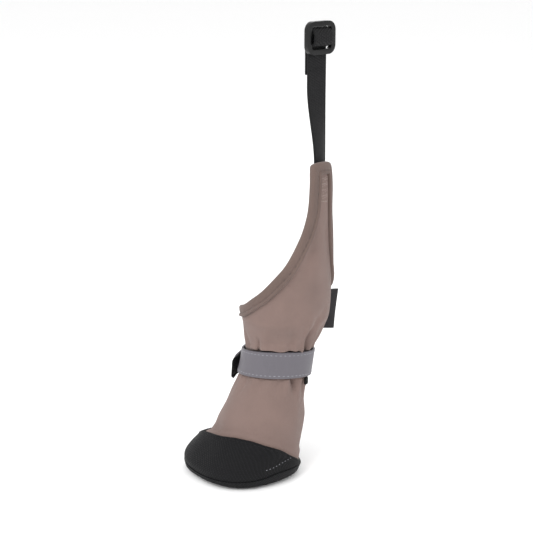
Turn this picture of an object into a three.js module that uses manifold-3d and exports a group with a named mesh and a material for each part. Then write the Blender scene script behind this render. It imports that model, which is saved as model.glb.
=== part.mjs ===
// A left front dog boot, standing empty on its sole.
// Millimetres. The toe points along -Y, the outer side is +X, up is +Z and the floor is Z = 0.
// The origin is on the floor under the middle of the sole.
//
// The upper is a soft shell. Its skin is worked out from horizontal sections: wide and flat over the
// toes, drawn in at the ankle, open at the collar, with a tall flap on the outer side that carries a
// lift strap. Every fabric layer is a stretch of that same skin, between two distances from it, so the
// layers lie on one another wherever the sizes go.

import * as THREE from "three";
import { mergeVertices } from "three/addons/utils/BufferGeometryUtils.js";
import Module from "manifold-3d";

// The foot, the ankle and the collar, over the outside of the upper.
const FOOT_LENGTH = 65;
const FOOT_WIDTH = 66;
const ANKLE_LENGTH = 38;
const ANKLE_WIDTH = 37;
const ANKLE_HEIGHT = 68; // the middle of the strap, above the floor
const ANKLE_SETBACK = 20; // how far the ankle stands behind the middle of the sole
const ANKLE_OUT = 10;
const COLLAR_LENGTH = 53;
const COLLAR_WIDTH = 50;
const COLLAR_HEIGHT = 98; // the collar's lowest point, on the inner side
const COLLAR_SETBACK = 20;
const COLLAR_OUT = 16.5;
const FLAP_HEIGHT = 188;
const FLAP_WIDTH = 19; // across the flap's top
const FLAP_ANGLE = 109; // where the flap stands, round from the toe towards the outer side

// Fabric.
const CLEARANCE = 0.3; // between layers that are sewn or rest on one another
const WALL = 1.6;
const HEM_WIDTH = 5.5;
const HEM_THICKNESS = 0.8;
const CAP_THICKNESS = 1.2;
const CAP_HEIGHT = 27.5;
const COUNTER_THICKNESS = 1.2;
const COUNTER_HEIGHT = 40;

// The sole.
const SOLE_THICKNESS = 2.8;
const RIM_THICKNESS = 1.6;
const RIM_HEIGHT = 8; // at the side of the foot
const SOLE_EDGE_RADIUS = 5.5;
const ARCH_RISE = 0.5;
const TOE_SPRING = 1.4;
const INSOLE_THICKNESS = 3;

// The ankle strap.
const STRAP_WIDTH = 18;
const STRAP_THICKNESS = 1.1;
const BACKING_THICKNESS = 0.9;
const STRAP_START_ANGLE = -112; // where the strap is sewn down, on the inner side
const STRAP_LEAVE_ANGLE = -72; // where its end stands off the ankle, a turn later
const STRAP_TAIL = 14;
const STRAP_TAIL_DROOP = 4.5;
const STRAP_TILT = 3.5; // how much higher than its middle the strap sits at its highest side
const STRAP_TILT_ANGLE = 52; // which side that is
const STRAP_PINCH = 2; // how much lower its top edge sits beside that side

// The label in the back seam.
const LABEL_HEIGHT = 24;
const LABEL_REACH = 5.4;
const LABEL_LEAN = 0.1; // how far its fold leans in for each millimetre down
const LABEL_THICKNESS = 1.4;
const LABEL_DROP = 9; // from the collar's edge down to its top, just below the hem
const BACK_SEAM_ANGLE = 160;

// The lift strap and its slider.
const WEBBING_WIDTH = 13.5;
const WEBBING_THICKNESS = 1.4;
const WEBBING_TUCK = 20; // how much of it is sewn inside the flap
const WEBBING_ANGLE = 117.5; // where it is sewn in, nearer to the flap's back edge
const SLIDER_PLACE = 113.5; // the slider hangs over this place, so the webbing leans a little
const LIFT_STRAP_RISE = 60; // from the flap's top to the slider
const LIFT_STRAP_LEAN = 1; // how far the slider stands in from the flap
const SLIDER_ANGLE = 93; // which way the slider faces
const SLIDER_WIDTH = 20.6;
const SLIDER_HEIGHT = 18;
const SLIDER_THICKNESS = 3;
const SLIDER_RAIL = 3.1;
const SLIDER_BAR = 2.8;
const SLIDER_MIDDLE_BAR = 3.8;
const SLIDER_CORNER = 5;
const LOOP_TAIL = 14; // the webbing's end, sewn down behind itself under the slider

const COLUMNS = 52; // round the upper
const DEGREE = Math.PI / 180;
const TURN = 360;

// The sections of the sleeve, from the sole up. A level runs from 0 on the floor to 1 at the ankle, 2 at
// the collar's lowest point and 3 at the flap's top. Lengths and widths are shares of the size named in
// `follows`. `back` and `out` say how far the section's middle has moved from the middle of the sole to
// the ankle's place (1), or from there to the collar's (2).
const SECTIONS = [
  { level: 0.045, follows: "foot", fore: 0.5, aft: 0.42, side: 0.475, back: 0.15, out: 0, square: 2.45 },
  { level: 0.115, follows: "foot", fore: 0.512, aft: 0.44, side: 0.497, back: 0.15, out: 0.02, square: 2.45 },
  { level: 0.175, follows: "foot", fore: 0.492, aft: 0.45, side: 0.482, back: 0.19, out: 0.07, square: 2.4 },
  { level: 0.24, follows: "foot", fore: 0.455, aft: 0.443, side: 0.452, back: 0.27, out: 0.16, square: 2.3 },
  { level: 0.305, follows: "foot", fore: 0.425, aft: 0.43, side: 0.418, back: 0.37, out: 0.28, square: 2.2 },
  { level: 0.385, follows: "foot", fore: 0.402, aft: 0.41, side: 0.395, back: 0.48, out: 0.42, square: 2.1 },
  { level: 0.475, follows: "foot", fore: 0.388, aft: 0.39, side: 0.378, back: 0.56, out: 0.53, square: 2.05 },
  { level: 0.6, follows: "foot", fore: 0.36, aft: 0.36, side: 0.352, back: 0.66, out: 0.65, square: 2 },
  { level: 0.74, follows: "foot", fore: 0.327, aft: 0.327, side: 0.32, back: 0.79, out: 0.78, square: 2 },
  { level: 0.86, follows: "ankle", fore: 0.518, aft: 0.515, side: 0.525, back: 0.91, out: 0.9, square: 2 },
  { level: 1.0, follows: "ankle", fore: 0.5, aft: 0.5, side: 0.5, back: 1, out: 1, square: 2 },
  { level: 1.31, follows: "ankle", fore: 0.51, aft: 0.515, side: 0.515, back: 1.3, out: 1.2, square: 2 },
  { level: 1.5, follows: "collar", fore: 0.4, aft: 0.41, side: 0.425, back: 1.5, out: 1.45, square: 2 },
  { level: 1.75, follows: "collar", fore: 0.445, aft: 0.46, side: 0.465, back: 1.75, out: 1.76, square: 2 },
  { level: 2.0, follows: "collar", fore: 0.49, aft: 0.505, side: 0.5, back: 2, out: 2, square: 2 },
  { level: 2.2, follows: "collar", fore: 0.505, aft: 0.52, side: 0.515, back: 2, out: 2.05, square: 2 },
  { level: 3.0, follows: "collar", fore: 0.49, aft: 0.49, side: 0.5, back: 2, out: 2.1, square: 2 },
];

// The collar's edge, from its lowest point forward and up to the flap, and from the flap down the back
// and round again. `along` is the share of that sweep, `rise` the share of the flap's height over the
// collar.
const COLLAR_LOW_ANGLE = -60;
const FRONT_SWEEP = [
  { along: 0, rise: 0 },
  { along: 0.159, rise: 0.044 },
  { along: 0.339, rise: 0.089 },
  { along: 0.472, rise: 0.156 },
  { along: 0.552, rise: 0.204 },
  { along: 0.679, rise: 0.306 },
  { along: 0.766, rise: 0.383 },
  { along: 0.854, rise: 0.494 },
  { along: 0.93, rise: 0.606 },
  { along: 0.969, rise: 0.694 },
  { along: 0.99, rise: 0.783 },
  { along: 0.998, rise: 0.889 },
  { along: 1, rise: 0.965 },
  { along: 1.008, rise: 1 },
];
const BACK_SWEEP = [
  { along: -0.06, rise: 1 },
  { along: -0.032, rise: 0.985 },
  { along: -0.01, rise: 0.945 },
  { along: 0, rise: 0.89 },
  { along: 0.004, rise: 0.755 },
  { along: 0.018, rise: 0.583 },
  { along: 0.048, rise: 0.43 },
  { along: 0.08, rise: 0.343 },
  { along: 0.115, rise: 0.289 },
  { along: 0.18, rise: 0.222 },
  { along: 0.24, rise: 0.174 },
  { along: 0.3, rise: 0.141 },
  { along: 0.42, rise: 0.102 },
  { along: 0.55, rise: 0.077 },
  { along: 0.72, rise: 0.031 },
  { along: 0.9, rise: 0 },
];

// The seams of the black fabric. Angles are from the toe, positive towards the outer side, and heights
// are shares of the cap's, the rim's or the counter's height. The counter runs from the back seam round
// the heel and well forward on the inner side.
const CAP_SEAM = [
  { angle: -118, height: 0.37 },
  { angle: -110, height: 0.445 },
  { angle: -98, height: 0.49 },
  { angle: -80, height: 0.53 },
  { angle: -60, height: 0.6 },
  { angle: -37, height: 0.76 },
  { angle: -20, height: 0.865 },
  { angle: 0, height: 0.935 },
  { angle: 25, height: 1 },
  { angle: 40, height: 0.985 },
  { angle: 65, height: 0.87 },
  { angle: 80, height: 0.78 },
  { angle: 91, height: 0.69 },
  { angle: 104, height: 0.55 },
  { angle: 118, height: 0.385 },
];
const RIM_EDGE = [
  { angle: 0, height: 0.65 },
  { angle: 60, height: 0.8 },
  { angle: 90, height: 1 },
  { angle: 118, height: 0.9 },
  { angle: 143, height: 0.72 },
  { angle: 180, height: 1.4 },
];
const COUNTER_EDGE = [
  { height: 0, inner: 59, outer: 22 },
  { height: 0.3, inner: 62, outer: 21 },
  { height: 0.6, inner: 72, outer: 19 },
  { height: 0.85, inner: 84, outer: 18 },
  { height: 1, inner: 81, outer: 12 },
];

// The sole's underside from the toe to the heel, as shares of its length and of the arch's or the toe
// spring's rise. Forefoot and heel lie flat on the floor.
const UNDERSIDE = [
  { along: -0.02, spring: 1.1, arch: 0 },
  { along: 0.05, spring: 0.6, arch: 0 },
  { along: 0.12, spring: 0.2, arch: 0 },
  { along: 0.2, spring: 0, arch: 0 },
  { along: 0.54, spring: 0, arch: 0 },
  { along: 0.585, spring: 0, arch: 0.7 },
  { along: 0.63, spring: 0, arch: 1 },
  { along: 0.675, spring: 0, arch: 0.7 },
  { along: 0.72, spring: 0, arch: 0 },
];

// The smooth value of one column of a table at a place between its rows, never past its neighbours.
function valueAt(rows, key, place, column) {
  const last = rows.length - 1;
  if (place <= rows[0][key]) return rows[0][column];
  if (place >= rows[last][key]) return rows[last][column];
  let i = 0;
  while (rows[i + 1][key] < place) i++;
  const step = (k) => rows[k + 1][key] - rows[k][key];
  const slope = (k) => (rows[k + 1][column] - rows[k][column]) / step(k);
  const tangent = (k) => {
    if (k === 0 || k === last) return k === 0 ? slope(0) : slope(last - 1);
    const before = slope(k - 1);
    const after = slope(k);
    return before * after <= 0 ? 0 : (2 * before * after) / (before + after);
  };
  const t = (place - rows[i][key]) / step(i);
  const a = rows[i][column];
  const b = rows[i + 1][column];
  const ma = tangent(i) * step(i);
  const mb = tangent(i + 1) * step(i);
  return (
    a * (2 * t ** 3 - 3 * t ** 2 + 1) +
    ma * (t ** 3 - 2 * t ** 2 + t) +
    b * (3 * t ** 2 - 2 * t ** 3) +
    mb * (t ** 3 - t ** 2)
  );
}

// Heights at the levels 0, 1, 2 and 3.
const LEVEL_HEIGHTS = [0, ANKLE_HEIGHT, COLLAR_HEIGHT, FLAP_HEIGHT];
function heightOfLevel(level) {
  const i = Math.min(Math.floor(level), LEVEL_HEIGHTS.length - 2);
  return LEVEL_HEIGHTS[i] + (level - i) * (LEVEL_HEIGHTS[i + 1] - LEVEL_HEIGHTS[i]);
}

const SIZES = {
  foot: { length: FOOT_LENGTH, width: FOOT_WIDTH },
  ankle: { length: ANKLE_LENGTH, width: ANKLE_WIDTH },
  collar: { length: COLLAR_LENGTH, width: COLLAR_WIDTH },
};
const between = (a, b, share) => a + (b - a) * share;
const sections = SECTIONS.map((row) => {
  const size = SIZES[row.follows];
  const place = (share, ankle, collar) =>
    Math.min(1, share) * ankle + Math.max(0, share - 1) * (collar - ankle);
  return {
    height: heightOfLevel(row.level),
    fore: row.fore * size.length,
    aft: row.aft * size.length,
    side: row.side * size.width,
    back: place(row.back, ANKLE_SETBACK, COLLAR_SETBACK),
    out: place(row.out, ANKLE_OUT, COLLAR_OUT),
    square: row.square,
  };
});
const SKIN_BOTTOM = sections[0].height;

// The point of the upper's outside at an angle from the toe and a height. It runs straight between
// two sections, as the facets do, so that layers with different rows still lie side by side.
function skin(angle, height) {
  const above = sections.findIndex((s) => s.height >= height);
  const i = Math.max(1, above < 0 ? sections.length - 1 : above);
  const a = sections[i - 1];
  const b = sections[i];
  const share = (height - a.height) / (b.height - a.height);
  const at = (column) => between(a[column], b[column], share);
  const across = Math.sin(angle * DEGREE);
  const along = Math.cos(angle * DEGREE);
  const reach = along > 0 ? at("fore") : at("aft");
  const square = at("square");
  const measure = Math.abs(along / reach) ** square + Math.abs(across / at("side")) ** square;
  const radius = measure ** (-1 / square);
  return new THREE.Vector3(at("out") + radius * across, at("back") - radius * along, height);
}

// The same point moved off the skin, outwards if the distance is positive.
function layer(angle, height, distance) {
  const turn = 1;
  const rise = 0.8;
  const here = skin(angle, height);
  const round = skin(angle + turn, height).sub(skin(angle - turn, height));
  const low = Math.max(height - rise, SKIN_BOTTOM);
  const up = skin(angle, low + 2 * rise).sub(skin(angle, low));
  return here.addScaledVector(round.cross(up).normalize(), distance);
}

// The collar's edge as a smooth line of angle and height, and its height at any angle.
const FLAP_HALF_ANGLE = FLAP_WIDTH / COLLAR_WIDTH / DEGREE;
const FLAP_FRONT = FLAP_ANGLE - FLAP_HALF_ANGLE;
const FLAP_BACK = FLAP_ANGLE + FLAP_HALF_ANGLE;
const MM_PER_DEGREE = (COLLAR_LENGTH / 2) * DEGREE;
const edgePoint = (angle, rise) =>
  new THREE.Vector3(angle * MM_PER_DEGREE, between(COLLAR_HEIGHT, FLAP_HEIGHT, rise), 0);
const collarPoints = [
  ...FRONT_SWEEP.map((row) => edgePoint(between(COLLAR_LOW_ANGLE, FLAP_FRONT, row.along), row.rise)),
  ...BACK_SWEEP.map((row) => edgePoint(between(FLAP_BACK, COLLAR_LOW_ANGLE + TURN, row.along), row.rise)),
];
collarPoints.push(edgePoint(COLLAR_LOW_ANGLE + TURN, 0));
const collarLine = new THREE.CatmullRomCurve3(collarPoints, false, "centripetal").getPoints(900);
function wrapped(angle) {
  return ((((angle - COLLAR_LOW_ANGLE) % TURN) + TURN) % TURN) + COLLAR_LOW_ANGLE;
}
function collarHeight(angle) {
  const x = wrapped(angle) * MM_PER_DEGREE;
  const i = collarLine.findIndex((p) => p.x >= x);
  if (i <= 0) return collarLine[0].y;
  const a = collarLine[i - 1];
  const b = collarLine[i];
  return between(a.y, b.y, (x - a.x) / Math.max(b.x - a.x, 1e-6));
}

// The collar's edge moved square to itself: down into the sleeve, or up past it if the distance is
// negative.
function collarInset(angle, distance) {
  const size = Math.abs(distance);
  const sign = Math.sign(distance);
  const steps = 24;
  let best = sign * Infinity;
  for (let i = -steps; i <= steps; i++) {
    const aside = (size * i) / steps;
    const drop = Math.sqrt(Math.max(0, size ** 2 - aside ** 2));
    const height = collarHeight(angle + aside / MM_PER_DEGREE) - sign * drop;
    best = sign > 0 ? Math.min(best, height) : Math.max(best, height);
  }
  return best;
}

// Columns round the upper, closer together where the collar's edge is steep.
const columnAngles = (() => {
  const steepShare = 0.35;
  const marks = [0];
  for (let degree = 1; degree <= TURN; degree++) {
    const here = COLLAR_LOW_ANGLE + degree;
    const rise = collarHeight(here - 0.01) - collarHeight(here - 1);
    marks.push(marks[degree - 1] + MM_PER_DEGREE + steepShare * Math.abs(rise));
  }
  return Array.from({ length: COLUMNS }, (_, k) => {
    const wanted = (marks[TURN] * k) / COLUMNS;
    const i = Math.max(1, marks.findIndex((m) => m >= wanted));
    return COLLAR_LOW_ANGLE + i - 1 + (wanted - marks[i - 1]) / (marks[i] - marks[i - 1]);
  });
})();

// A closed wall with an inner (side 0) and an outer (side 1) face. Columns run towards the outer side,
// rows run up, and `wraps` joins the last column to the first.
function wall(columns, rows, wraps, pointAt) {
  const count = wraps ? columns : columns + 1;
  const positions = [];
  for (const side of [0, 1])
    for (let i = 0; i < count; i++)
      for (let j = 0; j <= rows; j++) positions.push(...pointAt(i, j, side).toArray());
  const at = (i, j, side) => (side * count + (i % count)) * (rows + 1) + j;
  const faces = [];
  const quad = (a, b, c, d) => faces.push(a, b, c, a, c, d);
  for (let i = 0; i < columns; i++) {
    for (let j = 0; j < rows; j++) {
      quad(at(i, j, 1), at(i + 1, j, 1), at(i + 1, j + 1, 1), at(i, j + 1, 1));
      quad(at(i, j, 0), at(i, j + 1, 0), at(i + 1, j + 1, 0), at(i + 1, j, 0));
    }
    quad(at(i, 0, 1), at(i, 0, 0), at(i + 1, 0, 0), at(i + 1, 0, 1));
    quad(at(i, rows, 1), at(i + 1, rows, 1), at(i + 1, rows, 0), at(i, rows, 0));
  }
  for (let j = 0; j < rows && !wraps; j++) {
    quad(at(0, j, 1), at(0, j + 1, 1), at(0, j + 1, 0), at(0, j, 0));
    quad(at(columns, j, 1), at(columns, j, 0), at(columns, j + 1, 0), at(columns, j + 1, 1));
  }
  return new THREE.BufferGeometry()
    .setAttribute("position", new THREE.Float32BufferAttribute(positions, 3))
    .setIndex(faces);
}

const wasm = await Module();
wasm.setup();

// A three.js geometry as a solid that can be joined and cut, and back.
function solidOf(geometry) {
  const plain = geometry.clone();
  plain.deleteAttribute("normal");
  plain.deleteAttribute("uv");
  const merged = mergeVertices(plain, 1e-4);
  return new wasm.Manifold(
    new wasm.Mesh({
      numProp: 3,
      vertProperties: new Float32Array(merged.attributes.position.array),
      triVerts: new Uint32Array(merged.index.array),
    }),
  );
}
function geometryOf(solid) {
  const mesh = solid.getMesh();
  const geometry = new THREE.BufferGeometry()
    .setAttribute("position", new THREE.Float32BufferAttribute(mesh.vertProperties, 3))
    .setIndex([...mesh.triVerts]);
  geometry.computeVertexNormals();
  return geometry;
}

// Heights of the rings that all layers of the foot share, so that their facets lie side by side.
const footRings = sections.map((s) => s.height).filter((h) => h < COLLAR_HEIGHT * 0.95);

// A band of the skin all the way round, between two heights given at each angle.
const CUT_MARGIN = 5;
const CUT_ROWS = 4;
function band(lowAt, highAt, inside, outside) {
  return solidOf(
    wall(COLUMNS, CUT_ROWS, true, (i, j, side) => {
      const angle = columnAngles[i];
      const height = between(lowAt(angle), highAt(angle), j / CUT_ROWS);
      return layer(angle, height, side ? outside : inside);
    }),
  );
}
function cutBand(lowAt, highAt) {
  return band(lowAt, highAt, -CUT_MARGIN, CUT_MARGIN);
}

// A sleeve of the foot between two distances from the skin, on the shared rings up to a height.
function footSleeve(top, inside, outside) {
  const rings = footRings.filter((h) => h <= top);
  rings.push(footRings[rings.length]);
  return solidOf(
    wall(COLUMNS, rings.length - 1, true, (i, j, side) =>
      layer(columnAngles[i], rings[j], side ? outside : inside),
    ),
  );
}

// An angle from the toe, between -180 and 180.
function fromToe(angle) {
  return ((((angle + TURN / 2) % TURN) + TURN) % TURN) - TURN / 2;
}
const capTop = (angle) => CAP_HEIGHT * valueAt(CAP_SEAM, "angle", fromToe(angle), "height");
const rimTop = (angle) => RIM_HEIGHT * valueAt(RIM_EDGE, "angle", Math.abs(fromToe(angle)), "height");

// The upper: one hollow wall from the sole to the collar and the flap's top.
const UPPER_RINGS = footRings.length;
const UPPER_ROWS = 5; // above the rings, up to the edge
function makeUpper() {
  const base = footRings[UPPER_RINGS - 1];
  return wall(COLUMNS, UPPER_RINGS - 1 + UPPER_ROWS, true, (i, j, side) => {
    const angle = columnAngles[i];
    const above = Math.max(0, j - UPPER_RINGS + 1) / UPPER_ROWS;
    const height = j < UPPER_RINGS ? footRings[j] : between(base, collarHeight(angle), above);
    return layer(angle, height, side ? 0 : -WALL);
  });
}

// The hem: the folded edge, round the outside, over the top and down the inside of the collar.
function makeHem() {
  const near = CLEARANCE * 1.2;
  const far = near + HEM_THICKNESS;
  const middle = HEM_WIDTH / 2;
  const profile = [
    { distance: near, inset: HEM_WIDTH },
    { distance: far, inset: HEM_WIDTH },
    { distance: far, inset: middle },
    { distance: far, inset: -far },
    { distance: -WALL - far, inset: -far },
    { distance: -WALL - far, inset: middle },
    { distance: -WALL - far, inset: HEM_WIDTH },
    { distance: -WALL - near, inset: HEM_WIDTH },
    { distance: -WALL - near, inset: middle },
    { distance: -WALL - near, inset: -near },
    { distance: near, inset: -near },
    { distance: near, inset: middle },
  ];
  const rings = columnAngles.map((angle) =>
    profile.map((p) => layer(angle, collarInset(angle, p.inset), p.distance)),
  );
  const count = profile.length;
  const positions = rings.flat().flatMap((p) => p.toArray());
  const faces = [];
  for (let i = 0; i < COLUMNS; i++)
    for (let k = 0; k < count; k++) {
      const a = i * count + k;
      const b = i * count + ((k + 1) % count);
      const c = ((i + 1) % COLUMNS) * count + ((k + 1) % count);
      const d = ((i + 1) % COLUMNS) * count + k;
      faces.push(a, c, b, a, d, c);
    }
  return new THREE.BufferGeometry()
    .setAttribute("position", new THREE.Float32BufferAttribute(positions, 3))
    .setIndex(faces);
}

// The toe cap: black fabric over the toes, from the sole's rim to its seam, ending at the side notches.
function makeToeCap() {
  const sleeve = footSleeve(CAP_HEIGHT * 1.05, CLEARANCE, CLEARANCE + CAP_THICKNESS);
  const notches = [CAP_SEAM[0].angle, CAP_SEAM[CAP_SEAM.length - 1].angle];
  const patchColumns = 30;
  const patch = solidOf(
    wall(patchColumns, CUT_ROWS, false, (i, j, side) => {
      const angle = between(notches[0], notches[1], i / patchColumns);
      const height = between(rimTop(angle) + CLEARANCE, capTop(angle), j / CUT_ROWS);
      return layer(angle, height, side ? CUT_MARGIN : -CUT_MARGIN / 2);
    }),
  );
  return geometryOf(sleeve.intersect(patch));
}

// The heel counter: black fabric round the heel, higher and further forward on the inner side.
function makeHeelCounter() {
  const sleeve = footSleeve(COUNTER_HEIGHT * 1.02, CLEARANCE, CLEARANCE + COUNTER_THICKNESS);
  const patchColumns = 14;
  const patchRows = 6;
  const patch = solidOf(
    wall(patchColumns, patchRows, false, (i, j, side) => {
      const share = j / patchRows;
      const inner = valueAt(COUNTER_EDGE, "height", share, "inner");
      const outer = valueAt(COUNTER_EDGE, "height", share, "outer");
      const angle = TURN / 2 + between(-outer, inner, i / patchColumns);
      const low = rimTop(angle) + CLEARANCE;
      return layer(angle, between(low, COUNTER_HEIGHT, share), side ? CUT_MARGIN : -CUT_MARGIN / 2);
    }),
  );
  return geometryOf(sleeve.intersect(patch));
}

// The outsole: a plate with a rounded edge, and a rim that turns up round the foot.
const RIM_OUTSIDE = CLEARANCE + RIM_THICKNESS;
function makeOutsole() {
  const edge = [
    { inset: SOLE_EDGE_RADIUS, height: 0 },
    { inset: SOLE_EDGE_RADIUS * 0.45, height: SOLE_THICKNESS * 0.18 },
    { inset: SOLE_EDGE_RADIUS * 0.12, height: SOLE_THICKNESS * 0.6 },
  ];
  const rimRings = footRings.filter((h) => h < RIM_HEIGHT * 2);
  const outer = [
    ...edge.map((e) => (angle) => {
      const p = layer(angle, SKIN_BOTTOM, RIM_OUTSIDE - e.inset);
      p.z = e.height;
      return p;
    }),
    ...rimRings.map((h) => (angle) => layer(angle, h, RIM_OUTSIDE)),
  ];
  const inner = [
    (angle) => {
      const p = layer(angle, SKIN_BOTTOM, CLEARANCE);
      p.z = SOLE_THICKNESS;
      return p;
    },
    ...rimRings.map((h) => (angle) => layer(angle, h, CLEARANCE)),
  ];
  // One closed skin: up the outside, over the top, down the inside, with the plate's two flat faces.
  const rings = [...outer, ...inner.reverse()];
  const positions = rings.flatMap((ring) => columnAngles.flatMap((angle) => ring(angle).toArray()));
  const faces = [];
  for (let r = 0; r < rings.length - 1; r++)
    for (let i = 0; i < COLUMNS; i++) {
      const a = r * COLUMNS + i;
      const b = r * COLUMNS + ((i + 1) % COLUMNS);
      faces.push(a, b, b + COLUMNS, a, b + COLUMNS, a + COLUMNS);
    }
  const centre = (height) => positions.push(0, 0, height) / 3 - 1;
  const under = centre(0);
  const over = centre(SOLE_THICKNESS);
  const lastRing = (rings.length - 1) * COLUMNS;
  for (let i = 0; i < COLUMNS; i++) {
    const next = (i + 1) % COLUMNS;
    faces.push(under, next, i);
    faces.push(over, lastRing + i, lastRing + next);
  }
  const blank = solidOf(
    new THREE.BufferGeometry()
      .setAttribute("position", new THREE.Float32BufferAttribute(positions, 3))
      .setIndex(faces),
  );
  return geometryOf(blank.subtract(cutBand(rimTop, () => RIM_HEIGHT * 3)).subtract(underCut()));
}

// What the toe spring and the arch take off the plate's underside, right across the sole.
function underCut() {
  const front = layer(0, SKIN_BOTTOM, RIM_OUTSIDE).y;
  const length = layer(TURN / 2, SKIN_BOTTOM, RIM_OUTSIDE).y - front;
  const line = UNDERSIDE.map(
    (row) => new THREE.Vector2(front + row.along * length, row.spring * TOE_SPRING + row.arch * ARCH_RISE),
  );
  const below = -SOLE_THICKNESS;
  const first = new THREE.Vector2(line[0].x, below);
  const last = new THREE.Vector2(line[line.length - 1].x, below);
  const outline = [first, ...line, last];
  const prism = new THREE.ExtrudeGeometry(new THREE.Shape(outline.reverse()), {
    depth: 2 * FOOT_WIDTH,
    bevelEnabled: false,
  });
  prism.translate(0, 0, -FOOT_WIDTH);
  const along = new THREE.Vector3(0, 1, 0);
  const up = new THREE.Vector3(0, 0, 1);
  return solidOf(prism.applyMatrix4(new THREE.Matrix4().makeBasis(along, up, along.clone().cross(up))));
}

// The insole: a foam sheet that lies on the outsole inside the upper.
function makeInsole() {
  const outline = new THREE.Shape(
    columnAngles.map((angle) => {
      const p = layer(angle, SKIN_BOTTOM, -WALL - CLEARANCE);
      return new THREE.Vector2(p.x, p.y);
    }),
  );
  const sheet = new THREE.ExtrudeGeometry(outline, { depth: INSOLE_THICKNESS, bevelEnabled: false });
  return sheet.translate(0, 0, SOLE_THICKNESS + CLEARANCE);
}

// The ankle strap and its backing: a ribbon wound once round the ankle from where it is sewn down, lifted
// over its own start, with its end standing off in a straight line towards the toe.
const STRAP_STACK = BACKING_THICKNESS + STRAP_THICKNESS + CLEARANCE;
const strapWindow = { bottom: ANKLE_HEIGHT - STRAP_WIDTH / 2, top: ANKLE_HEIGHT + STRAP_WIDTH / 2 };
const strapTurn = TURN + STRAP_LEAVE_ANGLE - STRAP_START_ANGLE;
function strapPoint(along, height, distance) {
  const lift = STRAP_STACK + CLEARANCE;
  const liftFrom = TURN - 35;
  const turned = Math.min(along, 1) * strapTurn;
  const raised = THREE.MathUtils.smoothstep(turned, liftFrom, TURN - 4) * lift;
  const angle = STRAP_START_ANGLE + turned;
  const near = layer(angle, height, distance + raised);
  if (along <= 1) return near;
  const step = 2;
  const before = layer(angle - step, height, distance + raised);
  const direction = near.clone().sub(before).setZ(0).normalize();
  near.z -= (along - 1) ** 2 * STRAP_TAIL_DROOP;
  return near.addScaledVector(direction, (along - 1) * STRAP_TAIL);
}
function makeRibbon(inside, outside) {
  const turns = 56;
  const tail = 3;
  const inWindow = (h) => h > strapWindow.bottom + STRAP_TILT + 1 && h < strapWindow.top - STRAP_TILT - 1;
  const rings = footRings.filter(inWindow);
  return wall(turns + tail, rings.length + 1, false, (i, j, side) => {
    const along = i <= turns ? i / turns : 1 + (i - turns) / tail;
    const angle = STRAP_START_ANGLE + Math.min(along, 1) * strapTurn;
    const fromTilt = (angle - STRAP_TILT_ANGLE) * DEGREE;
    const tilt = STRAP_TILT * Math.cos(fromTilt);
    const pinch = STRAP_PINCH * Math.sin(fromTilt) ** 2;
    const edge = j === 0 ? strapWindow.bottom + tilt : strapWindow.top + tilt - pinch;
    const height = j === 0 || j > rings.length ? edge : rings[j - 1];
    return strapPoint(along, height, side ? outside : inside);
  });
}

// The side label: a folded tab that stands out of the back seam.
function makeLabel() {
  const halfAngle = LABEL_THICKNESS / COLLAR_LENGTH / DEGREE;
  const top = collarHeight(BACK_SEAM_ANGLE) - LABEL_DROP;
  const bottom = top - LABEL_HEIGHT;
  const seam = BACK_SEAM_ANGLE * DEGREE;
  const outwards = new THREE.Vector3(Math.sin(seam), -Math.cos(seam), 0);
  const besideSkin = sections.map((s) => s.height).filter((h) => h > bottom + 1 && h < top - 1);
  const rows = [bottom, ...besideSkin, top];
  return wall(1, rows.length - 1, false, (i, j, side) => {
    const angle = BACK_SEAM_ANGLE + (i ? halfAngle : -halfAngle);
    const height = rows[j];
    if (!side) return layer(angle, height, CLEARANCE);
    const fold = layer(angle, top, CLEARANCE + LABEL_REACH);
    return fold.addScaledVector(outwards, (height - top) * LABEL_LEAN).setZ(height);
  });
}

// The lift strap's own frame at the slider: `across` its width, `out` away from the boot.
const sliderOut = new THREE.Vector3(Math.sin(SLIDER_ANGLE * DEGREE), -Math.cos(SLIDER_ANGLE * DEGREE), 0);
const sliderAcross = new THREE.Vector3(-sliderOut.y, sliderOut.x, 0);
const HEM_STACK = WALL + CLEARANCE * 2.4 + HEM_THICKNESS;
const webbingMiddle = HEM_STACK + WEBBING_THICKNESS / 2;
const flapMiddle = layer(SLIDER_PLACE, FLAP_HEIGHT, -webbingMiddle);
const sliderBottom = FLAP_HEIGHT + LIFT_STRAP_RISE;
const sliderCentre = flapMiddle
  .clone()
  .setZ(sliderBottom + SLIDER_HEIGHT / 2)
  .addScaledVector(sliderOut, -LIFT_STRAP_LEAN);
// The webbing passes behind the slider's lower bar.
const behindBar = SLIDER_THICKNESS / 2 + CLEARANCE + WEBBING_THICKNESS / 2;

function makeLiftStrap() {
  const tuck = 4;
  const free = 8;
  const acrossSteps = 4;
  const bottom = FLAP_HEIGHT - WEBBING_TUCK;
  const joinHeight = sliderBottom - LOOP_TAIL - SLIDER_RAIL;
  const strip = wall(acrossSteps, tuck + free, false, (i, j, side) => {
    const share = i / acrossSteps - 0.5;
    const thick = (side - 0.5) * WEBBING_THICKNESS;
    const turn = (share * WEBBING_WIDTH) / (COLLAR_WIDTH / 2 - webbingMiddle) / DEGREE;
    const sewn = between(bottom, FLAP_HEIGHT, Math.min(1, j / tuck));
    if (j <= tuck) return layer(WEBBING_ANGLE + turn, sewn, thick - webbingMiddle);
    const up = (j - tuck) / free;
    const ease = THREE.MathUtils.smoothstep(up, 0, 1);
    const start = layer(WEBBING_ANGLE + turn, FLAP_HEIGHT, thick - webbingMiddle);
    const end = sliderCentre
      .clone()
      .addScaledVector(sliderAcross, share * WEBBING_WIDTH)
      .addScaledVector(sliderOut, thick - behindBar);
    return start.lerp(end, ease).setZ(between(FLAP_HEIGHT, joinHeight, up));
  });
  return geometryOf(solidOf(strip).add(solidOf(makeLoop(joinHeight))));
}

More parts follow.
